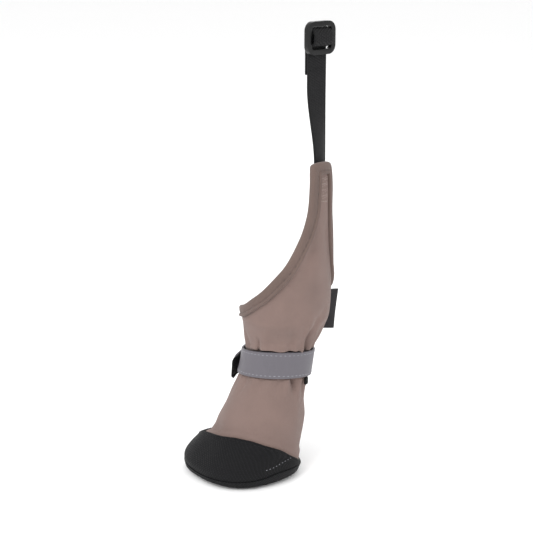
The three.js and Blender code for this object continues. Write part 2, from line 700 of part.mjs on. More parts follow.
// The webbing's loop: up behind the lower bar, out over the middle bar, back through the upper slot and
// down behind itself. Drawn in the plane of `out` and height, then pushed out to the webbing's width.
function makeLoop(joinHeight) {
  const half = WEBBING_THICKNESS / 2;
  const front = SLIDER_THICKNESS / 2 + CLEARANCE + half;
  const middle = sliderBottom + SLIDER_HEIGHT / 2;
  const slot = (SLIDER_HEIGHT - 2 * SLIDER_BAR - SLIDER_MIDDLE_BAR) / 2;
  const lowerSlot = sliderBottom + SLIDER_BAR;
  const upperSlot = middle + SLIDER_MIDDLE_BAR / 2;
  const second = behindBar + WEBBING_THICKNESS + CLEARANCE;
  const route = [
    [-behindBar, joinHeight - 1],
    [-behindBar, lowerSlot + slot * 0.25],
    [front, lowerSlot + slot * 0.77],
    [front, upperSlot + slot * 0.23],
    [-behindBar + half, upperSlot + slot * 0.72],
    [-second, upperSlot + slot * 0.5],
    [-second, sliderBottom - LOOP_TAIL + 3],
  ].map(([out, height]) => new THREE.Vector2(out, height));
  const offset = (side) =>
    route.map((p, k) => {
      const before = p.clone().sub(route[Math.max(k - 1, 0)]);
      const after = route[Math.min(k + 1, route.length - 1)].clone().sub(p);
      if (k === 0) before.copy(after);
      if (k === route.length - 1) after.copy(before);
      const a = before.normalize();
      const b = after.normalize();
      const normal = new THREE.Vector2(-(a.y + b.y), a.x + b.x).normalize();
      const mitre = half / Math.max(normal.dot(new THREE.Vector2(-a.y, a.x)), 0.5);
      return p.clone().addScaledVector(normal, side * mitre);
    });
  const outline = new THREE.Shape([...offset(1), ...offset(-1).reverse()]);
  const loop = new THREE.ExtrudeGeometry(outline, { depth: WEBBING_WIDTH, bevelEnabled: false });
  loop.translate(0, 0, -WEBBING_WIDTH / 2);
  const up = new THREE.Vector3(0, 0, 1);
  const frame = new THREE.Matrix4().makeBasis(sliderOut, up, sliderOut.clone().cross(up));
  frame.setPosition(sliderCentre.x, sliderCentre.y, 0);
  return loop.applyMatrix4(frame);
}

// A rectangle with round corners, as a shape or as a hole.
function roundedRectangle(Kind, width, height, radius, middle) {
  const x = width / 2;
  const y = height / 2;
  const r = radius;
  const path = new Kind();
  path.moveTo(-x + r, middle - y);
  path.lineTo(x - r, middle - y);
  path.absarc(x - r, middle - y + r, r, -Math.PI / 2, 0, false);
  path.lineTo(x, middle + y - r);
  path.absarc(x - r, middle + y - r, r, 0, Math.PI / 2, false);
  path.lineTo(-x + r, middle + y);
  path.absarc(-x + r, middle + y - r, r, Math.PI / 2, Math.PI, false);
  path.lineTo(-x, middle - y + r);
  path.absarc(-x + r, middle - y + r, r, Math.PI, 1.5 * Math.PI, false);
  return path;
}

// The slider: a plastic frame with three bars and two slots.
function makeSlider() {
  const bevel = 0.5;
  const slot = (SLIDER_HEIGHT - 2 * SLIDER_BAR - SLIDER_MIDDLE_BAR) / 2;
  const slotMiddle = SLIDER_MIDDLE_BAR / 2 + slot / 2;
  const slotWidth = SLIDER_WIDTH - 2 * SLIDER_RAIL;
  const shape = roundedRectangle(
    THREE.Shape,
    SLIDER_WIDTH - 2 * bevel,
    SLIDER_HEIGHT - 2 * bevel,
    SLIDER_CORNER - bevel,
    0,
  );
  for (const middle of [-slotMiddle, slotMiddle])
    shape.holes.push(
      roundedRectangle(THREE.Path, slotWidth + 2 * bevel, slot + 2 * bevel, slot * 0.3, middle),
    );
  const frame = new THREE.ExtrudeGeometry(shape, {
    depth: SLIDER_THICKNESS - 2 * bevel,
    bevelThickness: bevel,
    bevelSize: bevel,
    bevelSegments: 1,
    curveSegments: 3,
  });
  frame.translate(0, 0, -SLIDER_THICKNESS / 2 + bevel);
  const up = new THREE.Vector3(0, 0, 1);
  return frame.applyMatrix4(
    new THREE.Matrix4().makeBasis(sliderAcross, up, sliderOut).setPosition(sliderCentre),
  );
}

const taupe = { color: 0x95847c, roughness: 0.75, metalness: 0 };
const black = { color: 0x26272a, roughness: 0.55, metalness: 0 };
const pieces = {
  outsole: [makeOutsole(), black],
  insole: [makeInsole(), { color: 0x3b3b3d, roughness: 0.9, metalness: 0 }],
  upper: [makeUpper(), taupe],
  toe_cap: [makeToeCap(), black],
  heel_counter: [makeHeelCounter(), black],
  collar_hem: [makeHem(), taupe],
  strap_backing: [makeRibbon(CLEARANCE, CLEARANCE + BACKING_THICKNESS), black],
  ankle_strap: [
    makeRibbon(2 * CLEARANCE + BACKING_THICKNESS, CLEARANCE + STRAP_STACK),
    { color: 0x808188, roughness: 0.5, metalness: 0 },
  ],
  side_label: [makeLabel(), { color: 0x2c2b2e, roughness: 0.8, metalness: 0 }],
  lift_strap: [makeLiftStrap(), { color: 0x1e1f21, roughness: 0.85, metalness: 0 }],
  strap_slider: [makeSlider(), { color: 0x17181b, roughness: 0.35, metalness: 0 }],
};

const boot = new THREE.Group();
for (const [name, [geometry, look]] of Object.entries(pieces)) {
  const mesh = new THREE.Mesh(geometry, new THREE.MeshStandardMaterial(look));
  mesh.name = name;
  boot.add(mesh);
}

export default boot;
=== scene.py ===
# %% [markdown]
# # A dog boot in soft shell, webbing and dotted grip fabric
#
# The boot is a left front one: a taupe sleeve on a black cupped foot, an ankle strap, and a tall flap on
# the outer side that carries a webbing lift strap with a plastic slider. A fixed frame with the real
# sizes is loaded first, and every piece below is a finer version of one of its solids, in the same place.
#
# Cloth is best made from one shared surface. All layers here are grids laid on the same skin at their own
# distance from it, so they can never drift apart as separately sculpted meshes would.

# %% Load the fixed frame
import math
from contextlib import contextmanager

import bpy
import numpy as np
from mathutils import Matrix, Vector, noise


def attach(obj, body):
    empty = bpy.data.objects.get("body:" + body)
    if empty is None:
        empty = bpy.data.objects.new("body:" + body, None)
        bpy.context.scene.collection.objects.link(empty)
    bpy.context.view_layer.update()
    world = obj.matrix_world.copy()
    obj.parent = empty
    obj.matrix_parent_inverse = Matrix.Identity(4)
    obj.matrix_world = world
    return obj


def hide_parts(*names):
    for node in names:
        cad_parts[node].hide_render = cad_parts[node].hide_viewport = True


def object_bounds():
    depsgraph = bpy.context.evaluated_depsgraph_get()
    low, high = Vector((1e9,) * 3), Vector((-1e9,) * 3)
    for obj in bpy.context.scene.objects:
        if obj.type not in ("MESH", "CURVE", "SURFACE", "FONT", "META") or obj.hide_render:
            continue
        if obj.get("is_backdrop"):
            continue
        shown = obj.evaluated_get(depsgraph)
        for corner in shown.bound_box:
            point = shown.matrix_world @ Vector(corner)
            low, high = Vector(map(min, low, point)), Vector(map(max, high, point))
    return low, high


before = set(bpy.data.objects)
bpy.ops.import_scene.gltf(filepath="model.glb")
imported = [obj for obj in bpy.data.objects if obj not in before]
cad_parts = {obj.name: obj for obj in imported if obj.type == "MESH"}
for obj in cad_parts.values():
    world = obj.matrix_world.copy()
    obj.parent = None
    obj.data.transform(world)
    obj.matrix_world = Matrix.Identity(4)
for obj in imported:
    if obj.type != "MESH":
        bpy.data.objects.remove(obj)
cad_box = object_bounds()
MM = 0.001
BODY = "root"
print("nodes:", ", ".join(sorted(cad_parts)))

# %% [markdown]
# The skin is worked out from horizontal sections, as a shoemaker's last is: how far each reaches forward,
# back and to the side of its own middle, where that middle stands, and how square its outline is. A curve
# that runs smoothly through the rows, and never past them, gives every height in between.

# %% The sizes that all pieces share, in millimetres
WALL, CLEARANCE = 1.6, 0.3
COLLAR_LOW, FLAP_TOP = 98.0, 188.0
LEVEL_HEIGHTS = [0.0, 68.0, COLLAR_LOW, FLAP_TOP]  # floor, ankle, collar's low point, flap's top
LENGTH_WIDTH = {"foot": (65, 66), "ankle": (38, 37), "collar": (53, 50)}
BACK_OUT = {"ankle": (20, 10), "collar": (20, 16.5)}
SECTIONS = [  # level, follows, fore, aft, side, back, out, square
    (0.045, "foot", 0.5, 0.42, 0.475, 0.15, 0, 2.45),
    (0.115, "foot", 0.512, 0.44, 0.497, 0.15, 0.02, 2.45),
    (0.175, "foot", 0.492, 0.45, 0.482, 0.19, 0.07, 2.4),
    (0.24, "foot", 0.455, 0.443, 0.452, 0.27, 0.16, 2.3),
    (0.305, "foot", 0.425, 0.43, 0.418, 0.37, 0.28, 2.2),
    (0.385, "foot", 0.402, 0.41, 0.395, 0.48, 0.42, 2.1),
    (0.475, "foot", 0.388, 0.39, 0.378, 0.56, 0.53, 2.05),
    (0.6, "foot", 0.36, 0.36, 0.352, 0.66, 0.65, 2),
    (0.74, "foot", 0.327, 0.327, 0.32, 0.79, 0.78, 2),
    (0.86, "ankle", 0.518, 0.515, 0.525, 0.91, 0.9, 2),
    (1.0, "ankle", 0.5, 0.5, 0.5, 1, 1, 2),
    (1.31, "ankle", 0.51, 0.515, 0.515, 1.3, 1.2, 2),
    (1.5, "collar", 0.4, 0.41, 0.425, 1.5, 1.45, 2),
    (1.75, "collar", 0.445, 0.46, 0.465, 1.75, 1.76, 2),
    (2.0, "collar", 0.49, 0.505, 0.5, 2, 2, 2),
    (2.2, "collar", 0.505, 0.52, 0.515, 2, 2.05, 2),
    (3.0, "collar", 0.49, 0.49, 0.5, 2, 2.1, 2),
]


def section_row(level, follows, fore, aft, side, back, out, square):
    """One section in millimetres: height, fore, aft, side, back, out, square."""
    length, width = LENGTH_WIDTH[follows]

    def moved(share, axis):
        ankle, collar = BACK_OUT["ankle"][axis], BACK_OUT["collar"][axis]
        return min(1, share) * ankle + max(0, share - 1) * (collar - ankle)

    height = np.interp(level, range(4), LEVEL_HEIGHTS)
    return height, fore * length, aft * length, side * width, moved(back, 0), moved(out, 1), square


section_table = np.array([section_row(*row) for row in SECTIONS])
SKIN_BOTTOM = section_table[0, 0]
print("sections from", round(SKIN_BOTTOM, 1), "to", section_table[-1, 0], "mm")


# %% A smooth curve through a table
def cubic(a, b, leaving, arriving, t):
    """From a to b at shares t, with the slopes given at both ends."""
    return (
        a * (2 * t**3 - 3 * t**2 + 1)
        + leaving * (t**3 - 2 * t**2 + t)
        + b * (3 * t**2 - 2 * t**3)
        + arriving * (t**3 - t**2)
    )


def smooth_through(places, values, at):
    """A curve through all the values that never overshoots between two of them."""
    places, values, at = (np.asarray(a, float) for a in (places, values, at))
    step = np.diff(places)
    slope = np.diff(values) / step
    both = slope[:-1] * slope[1:] > 0
    tangent = np.concatenate([slope[:1], np.zeros(len(slope) - 1), slope[-1:]])
    tangent[1:-1][both] = (2 * slope[:-1] * slope[1:])[both] / (slope[:-1] + slope[1:])[both]
    i = np.clip(np.searchsorted(places, at) - 1, 0, len(step) - 1)
    t = np.clip((at - places[i]) / step[i], 0, 1)
    return cubic(values[i], values[i + 1], tangent[i] * step[i], tangent[i + 1] * step[i], t)


def table_at(table, at):
    """Each further column of a table, read at places in its first column."""
    return [smooth_through(table[:, 0], column, at) for column in table[:, 1:].T]


def smoothstep(at, low, high):
    t = np.clip((at - low) / (high - low), 0, 1)
    return t * t * (3 - 2 * t)


def swell(at, middle, width):
    """A soft bump: 1 in its middle, and as good as nothing at twice its width."""
    return np.exp(-(((at - middle) / width) ** 2))


def between(a, b, share):
    return a + (b - a) * share


# %% The skin, and layers at a distance from it
def skin(angle, height):
    """Points of the sleeve's outside, in mm, at an angle from the toe and a height."""
    angle, height = np.broadcast_arrays(np.asarray(angle, float), np.asarray(height, float))
    fore, aft, side, back, out, square = table_at(section_table, height)
    across, along = np.sin(np.radians(angle)), np.cos(np.radians(angle))
    soft_along = np.sqrt(along**2 + 0.004)
    reach = between(aft, fore, smoothstep(along, -0.35, 0.35))
    radius = ((soft_along / reach) ** square + np.abs(across / side) ** square) ** (-1 / square)
    return np.stack([out + radius * across, back - radius * along, height], -1)


def layer(angle, height, distance):
    """The same points moved off the skin, outwards if the distance is positive."""
    turn, rise = 1.0, 0.8
    tangent = skin(angle + turn, height) - skin(angle - turn, height)
    low = np.maximum(height - rise, SKIN_BOTTOM)
    normal = np.cross(tangent, skin(angle, low + 2 * rise) - skin(angle, low))
    normal /= np.linalg.norm(normal, axis=-1, keepdims=True)
    return skin(angle, height) + normal * np.asarray(distance, float)[..., None]


toe = layer(np.array(0.0), np.array(8.0), 0.0)
print("the toe is at y =", round(float(toe[1]), 1), "mm")

# %% [markdown]
# Real cloth is never as even as its pattern. The strap gathers the sleeve into pleats above and below
# itself, and the seams pull small lines into it. Each fold here is a soft trough or ridge along a line,
# strongest at its start and fading to its end. They could be sculpted by hand or simulated; placing them
# from a short table keeps the ones that this boot really shows, and each stays easy to move.

# %% The seam of the toe cap
CAP_HEIGHT = 27.5
CAP_SEAM = np.array([
    (-118, 0.37), (-110, 0.445), (-98, 0.49), (-80, 0.53), (-60, 0.6), (-37, 0.76), (-20, 0.865),
    (0, 0.935), (25, 1), (40, 0.985), (65, 0.87), (80, 0.78), (91, 0.69), (104, 0.55), (118, 0.385),
])


def from_toe(angle):
    return (np.asarray(angle, float) + 180) % 360 - 180


def cap_top(angle):
    return CAP_HEIGHT * smooth_through(*CAP_SEAM.T, from_toe(angle))


print("the cap is highest at", round(float(cap_top(30)), 1), "mm")

# %% Folds and seams in the sleeve
MM_PER_DEGREE = LENGTH_WIDTH["collar"][0] / 2 * math.pi / 180
STRAP_LOW, STRAP_HIGH, STRAP_TILT, STRAP_TILT_ANGLE, STRAP_PINCH = 59.0, 77.0, 3.5, 52.0, 2.0
FOLDS = [  # angle, height, to angle, height, width, depth: a hollow is below 0
    (97, 79, 92, 91, 1.8, -2.6),
    (91, 88, 104, 99, 2.3, -1.9),
    (102, 98, 122, 105, 3.4, -1.2),
    (88, 80, 84, 94, 1.5, 1.5),
    (84, 91, 92, 104, 2.6, 0.9),
    (107, 80, 110, 92, 2.6, 1.5),
    (120, 79, 126, 95, 2.2, -1.6),
    (133, 78, 138, 96, 2.8, 1.3),
    (16, 80, 15, 88, 1.4, -1.7),
    (24, 83, 24, 100, 4.0, 0.5),
    (38, 83, 34, 100, 4.0, -0.5),
    (52, 83, 48, 106, 4.4, 0.5),
    (66, 82, 60, 104, 2.6, -0.8),
    (76, 81, 70, 102, 2.4, 0.6),
    (-8, 80, -16, 90, 2.0, -0.9),
    (-20, 80, -28, 92, 2.4, 0.9),
    (-38, 79, -46, 92, 2.6, -1.0),
    (82, 62, 96, 52, 1.7, -4.2),
    (73, 61, 80, 49, 2.0, 1.2),
    (100, 59, 108, 44, 2.6, 1.5),
    (116, 58, 122, 46, 2.6, -1.6),
    (60, 62, 56, 50, 2.2, -0.7),
    (44, 62, 42, 50, 2.4, 0.5),
    (30, 62, 24, 50, 2.2, -0.7),
    (14, 61, 8, 47, 2.4, 0.7),
    (-4, 60, -8, 46, 2.0, -0.8),
    (-20, 58, -24, 44, 2.4, 0.7),
    (-40, 57, -56, 40, 2.4, 1.1),
    (-54, 57, -74, 38, 2.0, -1.2),
    (-84, 56, -96, 42, 2.4, 0.9),
    (130, 57, 138, 44, 2.6, 0.9),
    (141, 33, 142, 18, 7.0, 0.9),
    (142, 50, 142, 40, 5.0, -0.7),
    (152, 76, 154, 90, 2.2, -1.1),
    (176, 75, 178, 92, 2.6, 1.0),
    (-164, 75, -160, 90, 2.4, -1.0),
    (-138, 75, -136, 88, 2.6, 0.9),
    (-112, 76, -108, 90, 2.4, -1.0),
    (-86, 77, -84, 88, 2.4, 0.8),
    (-44, 101, -8, 97, 8.0, -1.0),
    (-58, 94, -58, 78, 0.8, -0.7),
    (-60, 58, -92, 42, 0.9, -0.7),
    (160, 128, 160, 42, 0.8, -0.7),
    (104, 168, 100, 118, 7.0, 0.6),
    (86, 140, 60, 112, 3.2, -0.9),
    (96, 132, 92, 108, 4.0, 0.6),
    (74, 118, 62, 92, 4.5, 0.5),
    (112, 150, 132, 116, 3.4, -0.7),
    (-12, 33, -8, 52, 6.0, 0.7),
    (48, 48, 60, 30, 7.0, -0.5),
    (104, 40, 112, 26, 4.0, 0.6),
]


def strap_edges(angle):
    """The strap's lower and upper edge: it is tilted, and its top edge dips at the sides."""
    from_tilt = np.radians(angle - STRAP_TILT_ANGLE)
    tilt = STRAP_TILT * np.cos(from_tilt)
    return STRAP_LOW + tilt, STRAP_HIGH + tilt - STRAP_PINCH * np.sin(from_tilt) ** 2


def off_strap(angle, height):
    """How far a place lies above or below the strap, and under it below 0."""
    low, high = strap_edges(angle)
    return np.maximum(low - height, height - high)


def folds(angle, height):
    """All the folds together, in mm: each is strongest at its start and fades to its end."""
    around = from_toe(angle)
    total = np.zeros(np.broadcast(around, height).shape)
    for angle_a, height_a, angle_b, height_b, width, depth in FOLDS:
        dx, dy = (angle_b - angle_a) * MM_PER_DEGREE, height_b - height_a
        x = from_toe(around - angle_a) * MM_PER_DEGREE
        y = height - height_a
        t = np.clip((x * dx + y * dy) / (dx * dx + dy * dy), 0, 1)
        total += depth * (1 - t) ** 0.7 * swell(np.hypot(x - t * dx, y - t * dy), 0, width)
    return total


def cloth_relief(angle, height):
    """How far the sleeve's cloth stands off its skin, in mm."""
    relief = folds(angle, height)
    low, high = strap_edges(angle)

    # The strap squeezes the cloth flat, and the cloth swells out just above and below it.
    gather = 0.3 + 0.7 * np.cos(np.radians(angle - STRAP_TILT_ANGLE)) ** 2
    swollen = 2.1 * gather * swell(height - high, 1.3, 2.0) + 0.8 * gather * swell(low - height, 1.2, 1.8)
    squeezed = np.minimum(relief, 0) * 0.5 - 0.25
    relief = between(squeezed, relief + swollen, smoothstep(off_strap(angle, height), -0.7, 0.9))

    # Over the toe cap's seam it has a small lip, and then a hollow that is deepest beside the toe.
    over_cap = height - cap_top(angle)
    lip = 0.55 * swell(over_cap, 0.8, 0.8) - 0.35 * swell(over_cap, 3.6, 1.6)
    beside_toe = swell(from_toe(angle), -30, 30) + 0.15
    hollow = -1.7 * beside_toe * swell(over_cap, 5.0, 4.5)
    relief += (lip + hollow) * smoothstep(over_cap, -0.6, 0.8)
    return relief * smoothstep(height, 9, 16)


def soft_noise(points, size, seed):
    """Slow, even bumps from -1 to 1, the same on every run."""
    at = points.reshape(-1, 3) / size + seed
    return np.array([noise.noise(Vector(p)) for p in at]).reshape(points.shape[:-1])


def cloth(angle, height, distance, wander=0.35):
    """The cloth's own surface: the layer with its folds and a little unevenness."""
    calm = smoothstep(off_strap(angle, height), -1, 7) * smoothstep(height, 9, 20)
    uneven = soft_noise(skin(angle, height), size=13.0, seed=3.7) * wander * calm
    return layer(angle, height, distance + cloth_relief(angle, height) + uneven)


print(len(FOLDS), "folds and seams")

# %% [markdown]
# The collar's edge is a line drawn round the sleeve: low on the inner side, up a long slope to the flap,
# and steeply down the back. It is drawn on the flattened sleeve, where one millimetre is one millimetre
# both ways, so the hem and its stitches can run along it at an even width.

# %% The collar's edge on the flattened sleeve
LOW_ANGLE, FLAP_ANGLE, FLAP_WIDTH = -60.0, 109.0, 19
FLAP_HALF = math.degrees(FLAP_WIDTH / LENGTH_WIDTH["collar"][1])  # half of it, as an angle
FRONT_SWEEP = [  # share of the way round, share of the rise
    (0, 0), (0.159, 0.044), (0.339, 0.089), (0.472, 0.156), (0.552, 0.204), (0.679, 0.306), (0.766, 0.383),
    (0.854, 0.494), (0.93, 0.606), (0.969, 0.694), (0.99, 0.783), (0.998, 0.889), (1, 0.965), (1.008, 1),
]
BACK_SWEEP = [
    (-0.06, 1), (-0.032, 0.985), (-0.01, 0.945), (0, 0.89), (0.004, 0.755), (0.018, 0.583), (0.048, 0.43),
    (0.08, 0.343), (0.115, 0.289), (0.18, 0.222), (0.24, 0.174), (0.3, 0.141), (0.42, 0.102), (0.55, 0.077),
    (0.72, 0.031), (0.9, 0), (1, 0),
]


def sweep(rows, start, end):
    return [
        (between(start, end, along) * MM_PER_DEGREE, between(COLLAR_LOW, FLAP_TOP, rise))
        for along, rise in rows
    ]


def rounded_line(points, per_step):
    """A smooth line through points that keeps its corners tight (a centripetal spline)."""
    p = np.array(points, float)
    p = np.vstack([2 * p[0] - p[1], p, 2 * p[-1] - p[-2]])
    out = []
    for a, b, c, d in zip(p, p[1:], p[2:], p[3:]):
        t0, t1, t2 = (np.linalg.norm(w - v) ** 0.5 for v, w in ((a, b), (b, c), (c, d)))
        start = ((b - a) / t0 - (c - a) / (t0 + t1) + (c - b) / t1) * t1
        end = ((c - b) / t1 - (d - b) / (t1 + t2) + (d - c) / t2) * t1
        out += [cubic(b, c, start, end, t) for t in np.arange(per_step) / per_step]
    return np.array(out + [p[-2]])


def length_along(points):
    """How far each point lies from the first, measured along the line."""
    return np.concatenate([[0], np.cumsum(np.linalg.norm(np.diff(points, axis=0), axis=1))])


def evenly(points, count):
    """The same line as `count` points at even distances."""
    along = length_along(points)
    at = np.linspace(0, along[-1], count)
    return np.stack([np.interp(at, along, c) for c in points.T], -1)


collar_points = sweep(FRONT_SWEEP, LOW_ANGLE, FLAP_ANGLE - FLAP_HALF)
collar_points += sweep(BACK_SWEEP, FLAP_ANGLE + FLAP_HALF, LOW_ANGLE + 360)
collar_line = rounded_line(collar_points, 30)


def flat_place(angle):
    """How far round the flattened sleeve an angle lies, in mm."""
    return ((np.asarray(angle, float) - LOW_ANGLE) % 360 + LOW_ANGLE) * MM_PER_DEGREE


def height_on(line, place):
    return np.interp(place, np.maximum.accumulate(line[:, 0]), line[:, 1])


HEM_SAMPLES = 560
hem_edge = evenly(collar_line, HEM_SAMPLES + 1)
print("the hem is", round(float(length_along(hem_edge)[-1])), "mm long")


# %% A line inside the collar's edge, at an even distance from it
def inset_line(distance):
    """Points beside hem_edge, into the sleeve or out past it, with the corners kept square."""
    period = np.array([360 * MM_PER_DEGREE, 0])
    loop = hem_edge[:-1]
    ahead = np.vstack([loop[1:], loop[:1] + period])
    behind = np.vstack([loop[-1:] - period, loop[:-1]])
    tangent = (ahead - behind) / np.linalg.norm(ahead - behind, axis=1, keepdims=True)
    moved = loop + np.stack([tangent[:, 1], -tangent[:, 0]], 1) * distance
    whole = np.vstack([loop - period, loop, loop + period])
    nearest = np.array([np.linalg.norm(whole - p, axis=1).min() for p in moved])
    good = np.flatnonzero(nearest > abs(distance) - 0.06)
    steps = np.arange(len(loop))
    moved = np.stack([np.interp(steps, good, moved[good, k]) for k in (0, 1)], 1)
    return np.vstack([moved, moved[:1] + period])


UNDER_HEM = inset_line(2.8)
SOFTENING = np.linspace(-2.2, 2.2, 23)  # the places beside an edge over which its height is averaged, in mm


def sleeve_top(angle):
    """The sleeve's own edge, hidden in the folded hem and softened where the collar is steep."""
    return height_on(UNDER_HEM, flat_place(angle)[..., None] + SOFTENING).mean(-1)


print("the sleeve ends under the hem at", round(float(sleeve_top(LOW_ANGLE)), 1), "mm at its lowest")

# %% [markdown]
# Every soft piece starts as Blender's own grid. Its points are moved onto a surface given as a function of
# two shares, its UV map is measured along the cloth so that a weave keeps its real size, and Solidify
# gives it the cloth's thickness. A grid that goes all the way round has its first and last columns merged.


# %% Objects, selection and edit mode
def new_object(name, data):
    """A new object in the scene, for a mesh, a curve, a lamp or a camera."""
    thing = bpy.data.objects.new(name, data)
    bpy.context.scene.collection.objects.link(thing)
    return thing


def selected_only(piece):
    bpy.ops.object.select_all(action="DESELECT")
    piece.select_set(True)
    bpy.context.view_layer.objects.active = piece


@contextmanager
def edit_mode(piece):
    """Edit mode on one piece, with its whole mesh selected."""
    selected_only(piece)
    bpy.ops.object.mode_set(mode="EDIT")
    bpy.ops.mesh.select_all(action="SELECT")
    yield
    bpy.ops.object.mode_set(mode="OBJECT")


def apply_modifier(piece, kind, **settings):
    selected_only(piece)
    modifier = piece.modifiers.new(kind.title(), kind)
    for name, value in settings.items():
        setattr(modifier, name, value)
    bpy.ops.object.modifier_apply(modifier=modifier.name)


# %% Grids that become cloth
def measured_uv(points, centre):
    """How far each point lies from the middle column, and up its own column, in metres."""
    across = np.linalg.norm(np.diff(points, axis=0), axis=2)
    across = np.vstack([np.zeros((1, points.shape[1])), np.cumsum(across, axis=0)])
    across -= across[int(centre * (len(across) - 1))]
    up = np.linalg.norm(np.diff(points, axis=1), axis=2)
    up = np.hstack([np.zeros((points.shape[0], 1)), np.cumsum(up, axis=1)])
    return across, up


def cloth_grid(name, columns, rows, surface, centre=0.5):
    """A new grid on surface(u, v), which gives points in mm for shares from 0 to 1."""
    bpy.ops.object.select_all(action="DESELECT")
    bpy.ops.mesh.primitive_grid_add(x_subdivisions=columns, y_subdivisions=rows, size=1)
    piece = bpy.context.object
    piece.name = piece.data.name = name
    mesh = piece.data
    flat = np.empty(len(mesh.vertices) * 3)
    mesh.vertices.foreach_get("co", flat)
    share = flat.reshape(-1, 3)[:, :2] + 0.5
    index = np.rint(share * (columns, rows)).astype(int)
    u, v = np.meshgrid(np.linspace(0, 1, columns + 1), np.linspace(0, 1, rows + 1), indexing="ij")
    points = surface(u, v) * MM
    mesh.vertices.foreach_set("co", points[index[:, 0], index[:, 1]].ravel())
    across, up = measured_uv(points, centre)
    corner = np.empty(len(mesh.loops), int)
    mesh.loops.foreach_get("vertex_index", corner)
    i, j = index[corner].T
    mesh.uv_layers.active.data.foreach_set("uv", np.stack([across[i, j], up[i, j]], 1).ravel())
    mesh.update()
    return piece


def close_round(piece, gap=0.02):
    """Merges the first and last columns of a grid that goes all the way round."""
    with edit_mode(piece):
        bpy.ops.mesh.remove_doubles(threshold=gap * MM)


def thicken(piece, thickness, side=1.0):
    """Solidify, in mm: side 1 grows along the normals, -1 against them, 0 both ways."""
    apply_modifier(piece, "SOLIDIFY", thickness=thickness * MM, offset=side)


def round_edges(piece, width, segments=2, angle=50):
    settings = {"width": width * MM, "segments": segments, "limit_method": "ANGLE"}
    apply_modifier(piece, "BEVEL", angle_limit=math.radians(angle), **settings)


def dress(piece, material, slot, *nodes, smooth=40):
    """Gives a finished piece its material and its place in the frame."""
    selected_only(piece)
    bpy.ops.object.shade_smooth_by_angle(angle=math.radians(smooth))
    piece.data.materials.clear()
    piece.data.materials.append(material)
    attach(piece, BODY)
    if nodes:
        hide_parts(*nodes)
    triangles = sum(len(p.vertices) - 2 for p in piece.data.polygons)
    print(f"{piece.name}: {triangles} triangles")
    return piece


print("grid tools are ready")

# %% [markdown]
# Materials come next. Three effects are shared: a plain weave, a field of raised dots, and slow patches of
# tone. Each is a shader node group with named sockets, built once and set differently in every material.
# An image texture would need a photograph of each cloth; these stay sharp at any distance.


# %% Node groups
def new_group(name, inputs, outputs):
    group = bpy.data.node_groups.new(name, "ShaderNodeTree")
    for title, kind, value in inputs:
        socket = group.interface.new_socket(title, in_out="INPUT", socket_type=kind)
        if value is not None:
            socket.default_value = value
    for title, kind in outputs:
        group.interface.new_socket(title, in_out="OUTPUT", socket_type=kind)
    start = group.nodes.new("NodeGroupInput")
    end = group.nodes.new("NodeGroupOutput")
    return group, start, end


def feed(tree, socket, value):
    """Links a socket to another, or sets it to a number."""
    if isinstance(value, bpy.types.NodeSocket):
        tree.links.new(value, socket)
    elif value is not None:
        socket.default_value = value


def calculate(tree, operation, a, b=None, c=None):
    node = tree.nodes.new("ShaderNodeMath")
    node.operation = operation
    for socket, value in zip(node.inputs, (a, b, c)):
        feed(tree, socket, value)
    return node.outputs[0]


def ramp(tree, value, low, high, to_low=0.0, to_high=1.0):
    node = tree.nodes.new("ShaderNodeMapRange")
    node.interpolation_type = "SMOOTHSTEP"
    titles = ("Value", "From Min", "From Max", "To Min", "To Max")
    for title, number in zip(titles, (value, low, high, to_low, to_high)):
        feed(tree, node.inputs[title], number)
    return node.outputs["Result"]


FLOAT, VECTOR, COLOUR = "NodeSocketFloat", "NodeSocketVector", "NodeSocketColor"


def weave_group():
    """Threads over and under one another: Height, and Gap where two threads meet."""
    group, start, end = new_group(
        "plain_weave",
        [("Vector", VECTOR, None), ("Warp Pitch", FLOAT, 0.5), ("Weft Pitch", FLOAT, 0.5)],
        [("Height", FLOAT), ("Gap", FLOAT)],
    )
    split = group.nodes.new("ShaderNodeSeparateXYZ")
    feed(group, split.inputs[0], start.outputs["Vector"])
    waves, cells = [], []
    for axis, pitch in ((0, "Warp Pitch"), (1, "Weft Pitch")):
        metres = calculate(group, "MULTIPLY", start.outputs[pitch], MM)
        place = calculate(group, "DIVIDE", split.outputs[axis], metres)
        turned = calculate(group, "MULTIPLY", place, math.pi)
        waves.append(calculate(group, "ABSOLUTE", calculate(group, "SINE", turned)))
        cells.append(calculate(group, "FLOOR", place))
    odd = calculate(group, "MODULO", calculate(group, "ADD", *cells), 2.0)
    over = calculate(group, "ABSOLUTE", odd)
    warp = calculate(group, "MULTIPLY", waves[0], over)
    weft = calculate(group, "MULTIPLY", waves[1], calculate(group, "SUBTRACT", 1.0, over))
    height = calculate(group, "ADD", warp, weft)
    feed(group, end.inputs["Height"], height)
    feed(group, end.inputs["Gap"], ramp(group, height, 0.0, 0.45, 1.0, 0.0))
    return group


